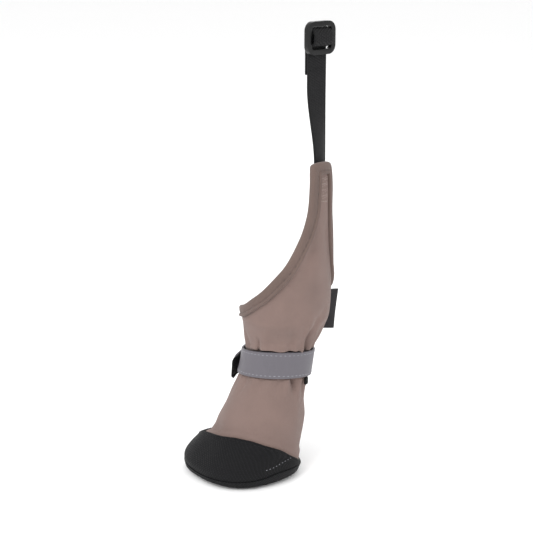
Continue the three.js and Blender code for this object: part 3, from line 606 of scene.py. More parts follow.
def dots_group():
    """Raised dots in even rows: Dot is 1 on a dot and 0 between them."""
    group, start, end = new_group(
        "raised_dots",
        [("Vector", VECTOR, None), ("Pitch", FLOAT, 1.8), ("Turn", FLOAT, 0.785)],
        [("Dot", FLOAT), ("Crown", FLOAT)],
    )
    turn = group.nodes.new("ShaderNodeVectorRotate")
    turn.rotation_type = "Z_AXIS"
    feed(group, turn.inputs["Vector"], start.outputs["Vector"])
    feed(group, turn.inputs["Angle"], start.outputs["Turn"])
    cells = group.nodes.new("ShaderNodeTexVoronoi")
    cells.voronoi_dimensions = "2D"
    cells.inputs["Randomness"].default_value = 0.0
    feed(group, cells.inputs["Vector"], turn.outputs[0])
    feed(group, cells.inputs["Scale"], calculate(group, "DIVIDE", 1 / MM, start.outputs["Pitch"]))
    away = cells.outputs["Distance"]
    feed(group, end.inputs["Dot"], ramp(group, away, 0.26, 0.4, 1.0, 0.0))
    feed(group, end.inputs["Crown"], ramp(group, away, 0.0, 0.42, 1.0, 0.0))
    return group


def patches_group():
    """A colour made slowly lighter and darker, with a finer grain over it."""
    group, start, end = new_group(
        "tone_patches",
        [
            ("Vector", VECTOR, None),
            ("Color", COLOUR, None),
            ("Patch", FLOAT, 18.0),
            ("Grain", FLOAT, 0.7),
            ("Amount", FLOAT, 0.15),
        ],
        [("Color", COLOUR), ("Tone", FLOAT)],
    )
    tones = []
    for size, detail in (("Patch", 3.0), ("Grain", 2.0)):
        speck = group.nodes.new("ShaderNodeTexNoise")
        speck.inputs["Detail"].default_value = detail
        feed(group, speck.inputs["Vector"], start.outputs["Vector"])
        feed(group, speck.inputs["Scale"], calculate(group, "DIVIDE", 1 / MM, start.outputs[size]))
        tones.append(speck.outputs["Fac"])
    tone = calculate(group, "MULTIPLY_ADD", tones[0], 0.6, calculate(group, "MULTIPLY", tones[1], 0.4))
    off_middle = calculate(group, "SUBTRACT", tone, 0.5)
    strength = calculate(group, "MULTIPLY", start.outputs["Amount"], 4.0)
    gain = calculate(group, "MULTIPLY_ADD", off_middle, strength, 1.0)
    scale = group.nodes.new("ShaderNodeVectorMath")
    scale.operation = "SCALE"
    feed(group, scale.inputs[0], start.outputs["Color"])
    feed(group, scale.inputs["Scale"], gain)
    feed(group, end.inputs["Color"], scale.outputs[0])
    feed(group, end.inputs["Tone"], tone)
    return group


WEAVE, DOTS, PATCHES = weave_group(), dots_group(), patches_group()
print("node groups:", ", ".join(g.name for g in (WEAVE, DOTS, PATCHES)))


# %% A material with its shader and coordinates
class Finish:
    """A material under construction: its tree, its shader and its coordinates."""

    def __init__(self, name, **constants):
        self.material = bpy.data.materials.new(name)
        self.material.use_nodes = True
        self.tree = self.material.node_tree
        self.shader = self.tree.nodes["Principled BSDF"]
        for title, value in constants.items():
            self.shader.inputs[title.replace("_", " ")].default_value = value
        where = self.tree.nodes.new("ShaderNodeTexCoord")
        self.uv, self.place = where.outputs["UV"], where.outputs["Object"]

    def group(self, tree, **sockets):
        node = self.tree.nodes.new("ShaderNodeGroup")
        node.node_tree = tree
        for title, value in sockets.items():
            feed(self.tree, node.inputs[title.replace("_", " ")], value)
        return node.outputs

    def bump(self, height, depth, normal=None):
        """Depth in mm."""
        node = self.tree.nodes.new("ShaderNodeBump")
        node.inputs["Distance"].default_value = depth * MM
        feed(self.tree, node.inputs["Height"], height)
        feed(self.tree, node.inputs["Normal"], normal)
        return node.outputs[0]

    def mix(self, share, a, b):
        node = self.tree.nodes.new("ShaderNodeMix")
        node.data_type = "RGBA"
        for socket, value in ((node.inputs[0], share), (node.inputs[6], a), (node.inputs[7], b)):
            feed(self.tree, socket, value)
        return node.outputs[2]

    def set(self, **sockets):
        for title, value in sockets.items():
            feed(self.tree, self.shader.inputs[title.replace("_", " ")], value)
        return self.material


def rgb(*values):
    """A colour as it looks on a screen, from 0 to 255, as the linear colour a shader needs."""
    linear = [(v / 255 / 12.92) if v <= 10 else ((v / 255 + 0.055) / 1.055) ** 2.4 for v in values]
    return (*linear, 1.0)


# The hem's taupe is darker than the sleeve's: painted shade, standing in for the shadow that falls on the
# folded hem.
TAUPE, HEM_PAINTED_SHADE_TAUPE, GAP_TAUPE = rgb(121, 102, 96), rgb(102, 86, 80), rgb(74, 64, 59)
print("taupe is", [round(c, 3) for c in TAUPE])

# %% [markdown]
# Soft shell is a tight, slightly stretchy weave with a brushed face: matt, a little velvety at grazing
# angles, and never quite one colour. The grip fabric of the foot is a black knit with rubber dots pressed
# into it, so its dots shine where the knit between them stays dull.


# %% Finishes for the cloth
def soft_shell(name, colour):
    f = Finish(name, Sheen_Weight=0.12, Sheen_Roughness=0.45, IOR=1.42, Specular_IOR_Level=0.3)
    weave = f.group(WEAVE, Vector=f.uv, Warp_Pitch=0.42, Weft_Pitch=0.42)
    tone = f.group(PATCHES, Vector=f.place, Color=colour, Patch=16.0, Grain=0.55, Amount=0.15)
    darker = f.mix(calculate(f.tree, "MULTIPLY", weave["Gap"], 0.35), tone["Color"], GAP_TAUPE)
    fuzz = f.bump(tone["Tone"], 0.12)
    return f.set(
        Base_Color=darker,
        Roughness=ramp(f.tree, tone["Tone"], 0.3, 0.7, 0.72, 0.86),
        Normal=f.bump(weave["Height"], 0.05, fuzz),
    )


def grip_fabric():
    f = Finish("grip_fabric", IOR=1.48, Specular_IOR_Level=0.2)
    dots = f.group(DOTS, Vector=f.uv, Pitch=1.3, Turn=0.785)
    knit = f.group(WEAVE, Vector=f.uv, Warp_Pitch=0.55, Weft_Pitch=0.4)
    tone = f.group(PATCHES, Vector=f.place, Color=rgb(10, 10, 12), Patch=14.0, Grain=0.8, Amount=0.2)
    colour = f.mix(dots["Dot"], tone["Color"], rgb(19, 19, 22))
    return f.set(
        Base_Color=colour,
        Roughness=ramp(f.tree, dots["Crown"], 0.2, 0.9, 0.68, 0.34),
        Normal=f.bump(dots["Crown"], 0.3, f.bump(knit["Height"], 0.06)),
    )


def lining_knit():
    f = Finish("lining_knit", Sheen_Weight=0.15, Roughness=0.92, Specular_IOR_Level=0.25)
    knit = f.group(WEAVE, Vector=f.uv, Warp_Pitch=0.9, Weft_Pitch=0.7)
    tone = f.group(PATCHES, Vector=f.place, Color=rgb(30, 29, 29), Patch=9.0, Grain=0.6, Amount=0.22)
    return f.set(Base_Color=tone["Color"], Normal=f.bump(knit["Height"], 0.16))


SOFT_SHELL, GRIP, LINING = soft_shell("soft_shell", TAUPE), grip_fabric(), lining_knit()
# The hem's material takes that darker taupe, so its colour carries painted shade.
HEM_CLOTH_PAINTED_SHADE = soft_shell("hem_cloth_painted_shade", HEM_PAINTED_SHADE_TAUPE)
print("cloth finishes:", ", ".join(m.name for m in (SOFT_SHELL, GRIP, LINING, HEM_CLOTH_PAINTED_SHADE)))


# %% [markdown]
# The ankle strap's face is a smooth tape full of tiny glass beads: grey, faintly metallic and with hardly
# any grain. Webbing, hook-and-loop tape, label, insole and rubber are all small even grains of one kind, so
# one function makes them, each with its own pitch and depth. Thread has a little sheen, and moulded plastic
# is the only glossy finish of the boot.


# %% Finishes for straps, thread, label and plastic
def reflective_tape():
    f = Finish("reflective_tape", Metallic=0.25, IOR=1.5, Specular_IOR_Level=0.4)
    weave = f.group(WEAVE, Vector=f.uv, Warp_Pitch=0.5, Weft_Pitch=0.5)
    tone = f.group(PATCHES, Vector=f.place, Color=rgb(98, 95, 101), Patch=12.0, Grain=0.35, Amount=0.09)
    return f.set(
        Base_Color=tone["Color"],
        Roughness=ramp(f.tree, tone["Tone"], 0.3, 0.7, 0.42, 0.6),
        Normal=f.bump(weave["Height"], 0.03),
    )


def fine_weave(name, colour, warp, weft, depth, roughness=0.72):
    f = Finish(name, Sheen_Weight=0.03, Roughness=roughness, Specular_IOR_Level=0.22)
    weave = f.group(WEAVE, Vector=f.uv, Warp_Pitch=warp, Weft_Pitch=weft)
    tone = f.group(PATCHES, Vector=f.place, Color=colour, Patch=10.0, Grain=0.4, Amount=0.2)
    shade = f.mix(calculate(f.tree, "MULTIPLY", weave["Gap"], 0.6), tone["Color"], rgb(8, 8, 9))
    return f.set(Base_Color=shade, Normal=f.bump(weave["Height"], depth))


def sewing_thread(name, colour, sheen=0.15, shine=0.5):
    f = Finish(name, Sheen_Weight=sheen, Roughness=0.6, Specular_IOR_Level=shine)
    tone = f.group(PATCHES, Vector=f.place, Color=colour, Patch=3.0, Grain=0.25, Amount=0.25)
    return f.set(Base_Color=tone["Color"], Normal=f.bump(tone["Tone"], 0.05))


def moulded_plastic():
    f = Finish("moulded_plastic", IOR=1.5, Specular_IOR_Level=0.3)
    tone = f.group(PATCHES, Vector=f.place, Color=rgb(8, 8, 9), Patch=6.0, Grain=0.3, Amount=0.12)
    return f.set(
        Base_Color=tone["Color"],
        Roughness=ramp(f.tree, tone["Tone"], 0.35, 0.65, 0.2, 0.34),
        Normal=f.bump(tone["Tone"], 0.02),
    )


TAPE, PLASTIC = reflective_tape(), moulded_plastic()
HOOK_BACKING = fine_weave("hook_backing", rgb(14, 14, 15), 0.8, 0.8, 0.2, 0.8)
WEBBING = fine_weave("webbing_weave", rgb(12, 12, 14), 1.3, 0.75, 0.28)
LABEL = fine_weave("label_weave", rgb(40, 38, 40), 0.4, 0.4, 0.05, 0.4)
FOAM = fine_weave("insole_mesh", rgb(46, 46, 48), 1.1, 1.1, 0.18, 0.9)
HEM_THREAD = sewing_thread("hem_thread", rgb(70, 58, 53))
GREY_THREAD = sewing_thread("grey_thread", rgb(140, 140, 147))
TAUPE_THREAD = sewing_thread("taupe_thread", rgb(150, 135, 128))
BLACK_THREAD = sewing_thread("black_thread", rgb(13, 13, 15), sheen=0.03, shine=0.25)
print("finishes:", len(bpy.data.materials))

# %% [markdown]
# The camera stands where the photographer did: some 0.7 m away and a little above the boot, in front of
# its outer side. It is aimed at the boot's middle, and only the lens is chosen to fill the frame. Floor and
# light are a plain pale studio, as in a catalogue.

# %% Camera, floor and light
AZIMUTH, EYE_HEIGHT, EYE_DISTANCE = math.radians(53), 0.3225, 0.708  # in metres, as all of this cell is
LENS, FLOOR_SIZE = 86, 30
eye = Vector((math.sin(AZIMUTH) * EYE_DISTANCE, -math.cos(AZIMUTH) * EYE_DISTANCE, EYE_HEIGHT))
aim = Vector((0.011, 0.011, 0.126))
camera_data = bpy.data.cameras.new("view")
camera_data.lens = LENS
camera_data.clip_start = 0.01
camera = new_object("view", camera_data)
camera.location = eye
camera.rotation_euler = (aim - eye).to_track_quat("-Z", "Y").to_euler()
bpy.context.scene.camera = camera

bpy.ops.object.select_all(action="DESELECT")
bpy.ops.mesh.primitive_plane_add(size=FLOOR_SIZE)
floor = bpy.context.object
floor.name = "floor"
paper = Finish("pale_paper", Roughness=0.9)
floor.data.materials.append(paper.set(Base_Color=(0.97, 0.97, 0.97, 1)))
floor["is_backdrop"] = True

world = bpy.data.worlds.new("studio")
bpy.context.scene.world = world
world.use_nodes = True
sky = world.node_tree.nodes["Background"].inputs
sky["Color"].default_value, sky["Strength"].default_value = (1, 1, 1, 1), 1.0
bpy.context.scene.view_settings.view_transform = "Standard"


def soft_light(name, place, power, size, colour=(1, 1, 1)):
    light = bpy.data.lights.new(name, "AREA")
    light.energy, light.size, light.color = power, size, colour
    lamp = new_object(name, light)
    lamp.location = place
    lamp.rotation_euler = (aim - Vector(place)).to_track_quat("-Z", "Y").to_euler()


soft_light("key", (0.25, -1.3, 1.15), 16, 0.9)
soft_light("fill", (1.5, 0.3, 0.8), 7, 1.2)
soft_light("back", (-0.9, 1.2, 1.2), 7, 1.0)
print("the eye is", round((eye - aim).length * 1000), "mm from the boot's middle")

# %% [markdown]
# The sleeve is one shell from the sole to the collar and the flap's top. Columns crowd together where the
# collar's edge is steep, because there the edge would otherwise turn into steps. A second, thinner shell
# inside it is the dark lining, which shows at the open collar and on the flap's inner face.

# %% The sleeve and its lining
COLUMN_COUNT, SLEEVE_ROWS, LINING_ROWS = 320, 120, 80
RING_TOP, RING_SHARE = 90.0, 0.5  # half of the rows lie level, below this height
SHELL_THICKNESS, LINING_THICKNESS = 0.9, 0.6
degrees = LOW_ANGLE + np.linspace(0, 360, 3601)
steepness = np.abs(np.diff(sleeve_top(degrees - 1e-6)))
column_marks = np.concatenate([[0], np.cumsum(0.1 * MM_PER_DEGREE + 0.4 * steepness)])
column_angles = np.interp(np.linspace(0, column_marks[-1], COLUMN_COUNT + 1), column_marks, degrees)


def column_angle(share):
    return np.interp(share, np.linspace(0, 1, COLUMN_COUNT + 1), column_angles)


def sleeve_surface(distance, top_drop=0.0):
    def surface(u, v):
        angle = column_angle(u)
        below = between(SKIN_BOTTOM, RING_TOP, v / RING_SHARE)
        above = between(RING_TOP, sleeve_top(angle) - top_drop, (v - RING_SHARE) / (1 - RING_SHARE))
        return cloth(angle, np.where(v < RING_SHARE, below, above), distance)

    return surface


sleeve = cloth_grid("sleeve", COLUMN_COUNT, SLEEVE_ROWS, sleeve_surface(0.0), centre=0.4)
close_round(sleeve)
thicken(sleeve, SHELL_THICKNESS, side=-1)
dress(sleeve, SOFT_SHELL, "softshell", "upper")

lining = cloth_grid("lining", COLUMN_COUNT, LINING_ROWS, sleeve_surface(-1.0, 0.5), centre=0.4)
close_round(lining)
thicken(lining, LINING_THICKNESS, side=-1)
dress(lining, LINING, "softshell")

# %% [markdown]
# The collar's raw edge is folded over and topstitched. The fold is a U in section: up the outside, over
# the edge and down the inside, fuller between its edge and its stitches, with a ditch where the thread
# pulls it down. Swept along the collar's line, it keeps its width round the flap's corners.

# %% The folded hem
STITCH_INSET, STITCH_PITCH, HEM_THICKNESS = 3.8, 9, 0.7  # the pitch is in samples of the hem's edge
HEM_SECTION = [  # distance off the skin, inset from the edge
    (0.0, 5.55), (0.9, 5.5), (1.4, 5.1), (1.35, 4.65), (0.85, 4.2), (0.6, 3.75), (0.85, 2.8), (0.95, 1.6),
    (0.9, 0.4), (0.5, -0.25), (-0.3, -0.5), (-1.1, -0.5), (-1.9, -0.3), (-2.35, 0.3), (-2.5, 1.5),
    (-2.5, 3.0), (-2.35, 4.0), (-2.45, 5.0), (-2.2, 5.5),
]
hem_profile = evenly(rounded_line(HEM_SECTION, 6), 43)
hem_lines = np.stack([inset_line(inset) for inset in hem_profile[:, 1]], 1)


def hem_surface(u, v):
    i = np.rint(u * HEM_SAMPLES).astype(int)
    j = np.rint(v * (len(hem_profile) - 1)).astype(int)
    x, height = np.moveaxis(hem_lines[i, j], -1, 0)
    distance, inset = hem_profile[j, 0], hem_profile[j, 1]
    pucker = np.sin(i * 2 * math.pi / STITCH_PITCH) * 0.1 * swell(inset, STITCH_INSET, 1.0)
    return cloth(x / MM_PER_DEGREE, height, distance + pucker * np.sign(distance))


hem = cloth_grid("collar_hem_fold", HEM_SAMPLES, len(hem_profile) - 1, hem_surface)
close_round(hem)
thicken(hem, HEM_THICKNESS, side=0)
dress(hem, HEM_CLOTH_PAINTED_SHADE, "softshell", "collar_hem")

# %% [markdown]
# One stitch is a tiny rounded bar, pulled into the cloth at both ends. It is shaped once from a low
# sphere and then copied along each seam as part of one mesh, so a thousand stitches stay one light piece.


# %% Small shapes that repeat
def shape_of(model):
    """The points and faces of a small model, which is then removed."""
    points = np.array([v.co for v in model.data.vertices])
    faces = [tuple(p.vertices) for p in model.data.polygons]
    bpy.data.objects.remove(model)
    return points, faces


def copies(name, placed, faces):
    """One object of many copies: the points of each in mm, and the faces that all of them have."""
    count = len(placed[0])
    all_faces = [tuple(k * count + i for i in face) for k in range(len(placed)) for face in faces]
    mesh = bpy.data.meshes.new(name)
    mesh.from_pydata((np.concatenate(placed) * MM).tolist(), [], all_faces)
    return new_object(name, mesh)


bpy.ops.object.select_all(action="DESELECT")
bpy.ops.mesh.primitive_uv_sphere_add(segments=8, ring_count=5, radius=1)
stitch_model = bpy.context.object
stitch_model.rotation_euler = (0, math.pi / 2, 0)
bpy.ops.object.transform_apply(location=False, rotation=True, scale=False)
stitch_points, stitch_faces = shape_of(stitch_model)
stitch_points[:, 2] -= 0.55 * stitch_points[:, 0] ** 2
print("one stitch has", len(stitch_faces), "faces")


# %% Stitches
def stitches(name, rows, material, slot, length, gap, radius):
    """rows: lines of (points, outward directions) in mm, each stitched from end to end."""
    bars = []
    for points, outward in rows:
        along = length_along(points)
        count = max(1, int(along[-1] / (length + gap)))
        for k in range(count):
            ends = (k + np.array([0, length / (length + gap)])) * along[-1] / count
            a, b = (np.array([np.interp(e, along, c) for c in points.T]) for e in ends)
            up = np.array([np.interp(ends.mean(), along, c) for c in outward.T])
            x = (b - a) / np.linalg.norm(b - a)
            y = np.cross(up, x)
            y /= np.linalg.norm(y)
            z = np.cross(x, y)
            size = np.array([np.linalg.norm(b - a) / 2, radius, radius])
            bars.append((stitch_points * size) @ np.array([x, y, z]) + (a + b) / 2)
    return dress(copies(name, bars, stitch_faces), material, slot, smooth=80)


def on_cloth(angle, height, distance):
    """A seam's points on the sleeve, with the direction straight off the cloth."""
    near, far = cloth(angle, height, distance), cloth(angle, height, distance + 0.5)
    return near, (far - near) * 2


def hem_row(distance):
    line = inset_line(STITCH_INSET)
    return on_cloth(line[:, 0] / MM_PER_DEGREE, line[:, 1], distance)


stitches("hem_stitches", [hem_row(0.92)], HEM_THREAD, "softshell", length=1.8, gap=0.7, radius=0.2)
inner_points, inner_out = hem_row(-2.75)
inside_rows = [(inner_points, -inner_out)]
stitches("hem_stitches_inside", inside_rows, HEM_THREAD, "softshell", length=1.8, gap=0.7, radius=0.22)

# %% [markdown]
# The foot is black grip fabric: a toe cap and a heel counter sewn over the sleeve, leaving a notch on each
# side. Both are patches of the shared surface, cut along their own seams. The cap's top edge isn't glued
# down, so it stands a little proud of the sleeve in front.

# %% The toe cap
CAP_END, COUNTER_HEIGHT, RIM_HEIGHT, PATCH_THICKNESS, PATCH_BEVEL = 118.0, 40.0, 8.0, 1.2, 0.22
RIM_EDGE = np.array([(0, 0.65), (60, 0.8), (90, 1), (118, 0.9), (143, 0.72), (180, 1.4)])
COUNTER_EDGE = np.array([  # share of height, inner reach, outer reach
    (0, 59, 22), (0.3, 62, 21), (0.6, 72, 19), (0.85, 84, 18), (1, 81, 12),
])


def rim_top(angle):
    return RIM_HEIGHT * smooth_through(*RIM_EDGE.T, np.abs(from_toe(angle)))


def cap_lift(angle, v):
    """The free edge stands off in front, most of all on the inner side."""
    return (0.35 + 1.9 * swell(from_toe(angle), -18, 26)) * np.clip(v, 0, 1) ** 5


def cap_surface(u, v):
    angle = between(-CAP_END, CAP_END, u)
    height = between(rim_top(angle) + CLEARANCE, cap_top(angle), v)
    return cloth(angle, height, CLEARANCE + cap_lift(angle, v), wander=0.5)


toe_cap = cloth_grid("toe_cap_patch", 260, 56, cap_surface)
thicken(toe_cap, PATCH_THICKNESS)
round_edges(toe_cap, PATCH_BEVEL)
dress(toe_cap, GRIP, "grip_fabric", "toe_cap")


# %% The heel counter
def counter_surface(u, v):
    inner, outer = table_at(COUNTER_EDGE, v)
    angle = 180 + between(-outer, inner, u)
    height = between(rim_top(angle) + CLEARANCE, COUNTER_HEIGHT, v)
    free_edge = 0.9 * np.clip(u, 0, 1) ** 8 + 0.3 * v**6
    return cloth(angle, height, CLEARANCE + free_edge, wander=0.5)


counter = cloth_grid("heel_counter_patch", 130, 76, counter_surface)
thicken(counter, PATCH_THICKNESS)
round_edges(counter, PATCH_BEVEL)
dress(counter, GRIP, "grip_fabric", "heel_counter")

# %% Stitches of the foot
ON_PATCH = CLEARANCE + PATCH_THICKNESS
SEAM_SHARE, COUNTER_INSET, COUNTER_DROP = 0.93, 5.5, 2.2  # share of the way up, degrees, mm
cap_angles = np.linspace(-116, 116, 240)
cap_row = on_cloth(
    cap_angles,
    between(rim_top(cap_angles), cap_top(cap_angles), SEAM_SHARE),
    ON_PATCH + cap_lift(cap_angles, SEAM_SHARE) + 0.08,
)
counter_share = np.linspace(0.04, SEAM_SHARE, 60)
inner_angles = 180 + (table_at(COUNTER_EDGE, counter_share)[0] - COUNTER_INSET)
inner_heights = between(rim_top(inner_angles), COUNTER_HEIGHT, counter_share)
inner_row = on_cloth(inner_angles, inner_heights, ON_PATCH + 0.55)
top_angles = np.linspace(162, 258, 100)
top_row = on_cloth(top_angles, np.full_like(top_angles, COUNTER_HEIGHT - COUNTER_DROP), ON_PATCH + 0.25)
foot_rows = [cap_row, inner_row, top_row]
stitches("foot_stitches", foot_rows, BLACK_THREAD, "grip_fabric", length=1.8, gap=0.8, radius=0.24)

CAP_JOIN = np.array([(61, 10.6), (78.5, 11.5), (91.5, 13.0), (106, 14.0)])  # angle, height
join_angles = np.linspace(72, 106, 60)
join_row = on_cloth(join_angles, smooth_through(*CAP_JOIN.T, join_angles), ON_PATCH + 0.1)
stitches("cap_join_stitches", [join_row], GREY_THREAD, "grip_fabric", length=0.8, gap=1.3, radius=0.16)

# %% [markdown]
# The sole is a cup: a flat plate with a rounded edge, toe spring in front, a slight arch in the middle,
# and a rim that turns up round the foot. A polar grid draws it in one go, from the middle of its underside
# out, up the rim, over its edge, down inside and back to the middle. Small rubber pads give it grip: one is
# bevelled and then copied over the underside. The insole inside is a foam sheet from a polar grid as well.

# %% The cupped sole
SOLE_THICKNESS, EDGE_RADIUS, RIM_THICKNESS = 2.8, 5.5, 1.6
RIM_OUTSIDE = CLEARANCE + RIM_THICKNESS
ARCH_RISE, TOE_SPRING, PAD_HEIGHT = 0.5, 1.4, 0.45
UNDERSIDE = np.array([  # share of the length, spring, arch
    (-0.02, 1.1, 0), (0.05, 0.6, 0), (0.12, 0.2, 0), (0.2, 0, 0), (0.54, 0, 0), (0.585, 0, 0.7),
    (0.63, 0, 1), (0.675, 0, 0.7), (0.72, 0, 0), (1.0, 0, 0),
])
sole_front = float(layer(0.0, SKIN_BOTTOM, RIM_OUTSIDE)[1])
sole_length = float(layer(180.0, SKIN_BOTTOM, RIM_OUTSIDE)[1]) - sole_front


def underside(y):
    """The sole's lowest point under a place along the boot, over the floor."""
    spring, arch = table_at(UNDERSIDE, (y - sole_front) / sole_length)
    return spring * TOE_SPRING + arch * ARCH_RISE


UNDER, EDGE, OUTSIDE, INSIDE, PLATE = range(5)
SOLE_PARTS = [  # part of the cup, steps, from share, to share
    (UNDER, 14, 0, 1), (EDGE, 8, 0, 1), (OUTSIDE, 8, 0, 1), (INSIDE, 8, 1, 0), (PLATE, 8, 1, 0),
]
ring_parts = [(part, share) for part, n, a, b in SOLE_PARTS for share in np.linspace(a, b, n + 1)]


def sole_ring(angle, part, share):
    """One ring of the cup: a share of the way out over its plate, round its edge or up its rim."""
    if part in (OUTSIDE, INSIDE):
        height = between(SKIN_BOTTOM, rim_top(angle), share)
        return layer(angle, height, RIM_OUTSIDE if part == OUTSIDE else CLEARANCE)
    bottom = np.full_like(angle, SKIN_BOTTOM)
    if part == EDGE:
        inset = EDGE_RADIUS * (1 - np.sin(share * math.pi / 2))
        point = layer(angle, bottom, RIM_OUTSIDE - inset)
        low = underside(point[..., 1]) + PAD_HEIGHT
        point[..., 2] = between(low, SKIN_BOTTOM, 1 - np.cos(share * math.pi / 2))
        return point
    edge = layer(angle, bottom, RIM_OUTSIDE - EDGE_RADIUS if part == UNDER else CLEARANCE)
    point = edge * (1, 1, 0) * share[..., None]
    point[..., 2] = underside(point[..., 1]) + PAD_HEIGHT if part == UNDER else SOLE_THICKNESS
    return point


def sole_surface(u, v):
    angle = -180 + 360 * u
    j = np.rint(v * (len(ring_parts) - 1)).astype(int)
    points = np.zeros(u.shape + (3,))
    for k, (part, share) in enumerate(ring_parts):
        here = j == k
        points[here] = sole_ring(angle[here], part, np.full(here.sum(), share))
    return points


sole = cloth_grid("cupped_sole", 200, len(ring_parts) - 1, sole_surface)
close_round(sole, 0.01)
round_edges(sole, 0.3, segments=3, angle=60)
dress(sole, GRIP, "grip_fabric", "outsole", smooth=50)

# %% Grip pads under the sole
PAD_PITCH, PAD_RADIUS, PAD_ROWS, MIDDLE_Y = 4.1, 1.55, range(-9, 10), 3
bpy.ops.object.select_all(action="DESELECT")
bpy.ops.mesh.primitive_cylinder_add(vertices=12, radius=PAD_RADIUS * MM, depth=2 * PAD_HEIGHT * MM)
round_edges(bpy.context.object, 0.22, angle=40)
pad_points, pad_faces = shape_of(bpy.context.object)
pads = []
for row in PAD_ROWS:
    for column in PAD_ROWS:
        x = (column + 0.5 * (row % 2)) * PAD_PITCH
        y = sole_front + sole_length / 2 + row * PAD_PITCH * math.sqrt(0.75)
        angle = math.degrees(math.atan2(x, -(y - MIDDLE_Y)))
        edge = layer(angle, SKIN_BOTTOM, RIM_OUTSIDE - EDGE_RADIUS - PAD_RADIUS)
        if math.hypot(x, y - MIDDLE_Y) < math.hypot(edge[0], edge[1] - MIDDLE_Y):
            pads.append(pad_points / MM + (x, y, float(underside(np.array(y))) + PAD_HEIGHT))
RUBBER = fine_weave("pad_rubber", rgb(22, 22, 24), 0.3, 0.3, 0.02, 0.5)
dress(copies("grip_pads", pads, pad_faces), RUBBER, "grip_fabric")
print(len(pads), "pads")


# %% The insole
INSOLE_THICKNESS, TOP_ROWS = 3.0, 0.86  # this share of the rows lies on its top, the rest on its edge
insole_bottom = SOLE_THICKNESS + CLEARANCE


def insole_surface(u, v):
    angle = -180 + 360 * u
    edge = layer(angle, np.full_like(angle, SKIN_BOTTOM), -WALL - CLEARANCE - 0.2)
    point = edge * np.clip(v / TOP_ROWS, 0, 1)[..., None]
    drop = np.clip((v - TOP_ROWS) / (1 - TOP_ROWS), 0, 1)
    point[..., 2] = between(insole_bottom + INSOLE_THICKNESS, insole_bottom, drop)
    return point


insole = cloth_grid("insole_sheet", 160, 30, insole_surface)
close_round(insole, 0.01)
with edit_mode(insole):  # its open underside gets one face
    bpy.ops.mesh.select_all(action="DESELECT")
    bpy.ops.mesh.select_non_manifold()
    bpy.ops.mesh.edge_face_add()
    bpy.ops.mesh.select_all(action="SELECT")
    bpy.ops.mesh.normals_make_consistent(inside=False)
round_edges(insole, 0.4)
dress(insole, FOAM, "insole_foam", "insole")

# %% [markdown]
# The ankle strap is a stiff reflective tape on a black hook-and-loop backing. It starts on the inner side,
# goes once round the ankle over its own start, and its end stands off in front as a small tab. A stiff tape
# doesn't sink into the hollow of the ankle, so its width is drawn nearly straight between its two edges.
# Below it on the outer side a small black end of its backing shows, one rounded block.

# %% The ankle strap and its backing
STRAP_START, STRAP_LEAVE, STRAP_TAIL, TAIL_DROOP, TAIL_CUT = -112.0, -72.0, 15.0, 2.0, 0.52
STRAP_TURN = 360 + STRAP_LEAVE - STRAP_START
BACKING_THICKNESS, STRAP_THICKNESS, STIFFNESS = 0.9, 1.1, 0.7
TAIL_SHORTER, LOW_FALL, HIGH_FALL = 4.0, 4.0, 4.2  # the tape ends before its backing, and both edges fall
STRAP_STACK = BACKING_THICKNESS + STRAP_THICKNESS + CLEARANCE
ON_ANKLE = 0.91  # the share of the columns that lie on the ankle
STRAP_GRID = 260, 16


def strap_points(u, v, distance, grow=0.0, short=TAIL_SHORTER):
    turned = np.minimum(u / ON_ANKLE, 1) * STRAP_TURN
    tail = np.clip((u - ON_ANKLE) / (1 - ON_ANKLE), 0, 1)
    raised = smoothstep(turned, 360 - 35, 360 - 4) * (STRAP_STACK + CLEARANCE)
    angle = STRAP_START + turned
    low, high = strap_edges(angle)
    to_tail = smoothstep(turned, STRAP_TURN - 70, STRAP_TURN)
    low, high = low - LOW_FALL * to_tail, high + grow - HIGH_FALL * to_tail

    def on_ankle(at):
        lowest, highest, snug = (layer(at, h, distance + raised) for h in (low, high, between(low, high, v)))
        return between(snug, between(lowest, highest, v[..., None]), STIFFNESS)

    point = on_ankle(angle)
    direction = point - on_ankle(angle - 2)
    direction[..., 2] = 0
    direction /= np.linalg.norm(direction, axis=-1, keepdims=True)
    point[..., 2] -= tail**2 * TAIL_DROOP
    reach = (STRAP_TAIL - short) * (between(TAIL_CUT, 1, v) - 0.16 * np.abs(2 * v - 1) ** 7)
    return point + direction * (tail * reach)[..., None]


def strap_surface(distance, grow, short):
    return lambda u, v: strap_points(u, v, distance, grow, short)


backing = cloth_grid("hook_and_loop_backing", *STRAP_GRID, strap_surface(CLEARANCE, -0.5, 0.0))
thicken(backing, BACKING_THICKNESS)
round_edges(backing, 0.25)
dress(backing, HOOK_BACKING, "hook_and_loop", "strap_backing")

tape_distance = 2 * CLEARANCE + BACKING_THICKNESS
tape = cloth_grid("reflective_strap", *STRAP_GRID, strap_surface(tape_distance, 0.0, TAIL_SHORTER))
thicken(tape, STRAP_THICKNESS)
round_edges(tape, 0.3)
dress(tape, TAPE, "reflective_tape", "ankle_strap")

# %% The small end below the strap, and the strap's stitches
END_ANGLE, END_HEIGHT, END_OUT, END_SIZE = 116.5, 57.4, 1.6, (3.4, 1.8, 4.6)
bpy.ops.object.select_all(action="DESELECT")
bpy.ops.mesh.primitive_cube_add(size=1)
end_below = bpy.context.object
end_below.name = "strap_end_below"
end_below.dimensions = [side * MM for side in END_SIZE]
end_below.rotation_euler.z = math.radians(END_ANGLE)
end_below.location = layer(END_ANGLE, END_HEIGHT, END_OUT) * MM
bpy.ops.object.transform_apply(location=True, rotation=True, scale=True)
round_edges(end_below, 0.8)
dress(end_below, HOOK_BACKING, "hook_and_loop")

along_strap = np.linspace(0.01, 0.985, 400)
strap_rows = []
for share in (0.09, 0.91):
    near, far = (
        strap_points(along_strap, np.full_like(along_strap, share), tape_distance + STRAP_THICKNESS + out)
        for out in (0.02, 0.52)
    )
    strap_rows.append((near, (far - near) * 2))
stitches("strap_stitches", strap_rows, GREY_THREAD, "reflective_tape", length=1.6, gap=1.05, radius=0.2)

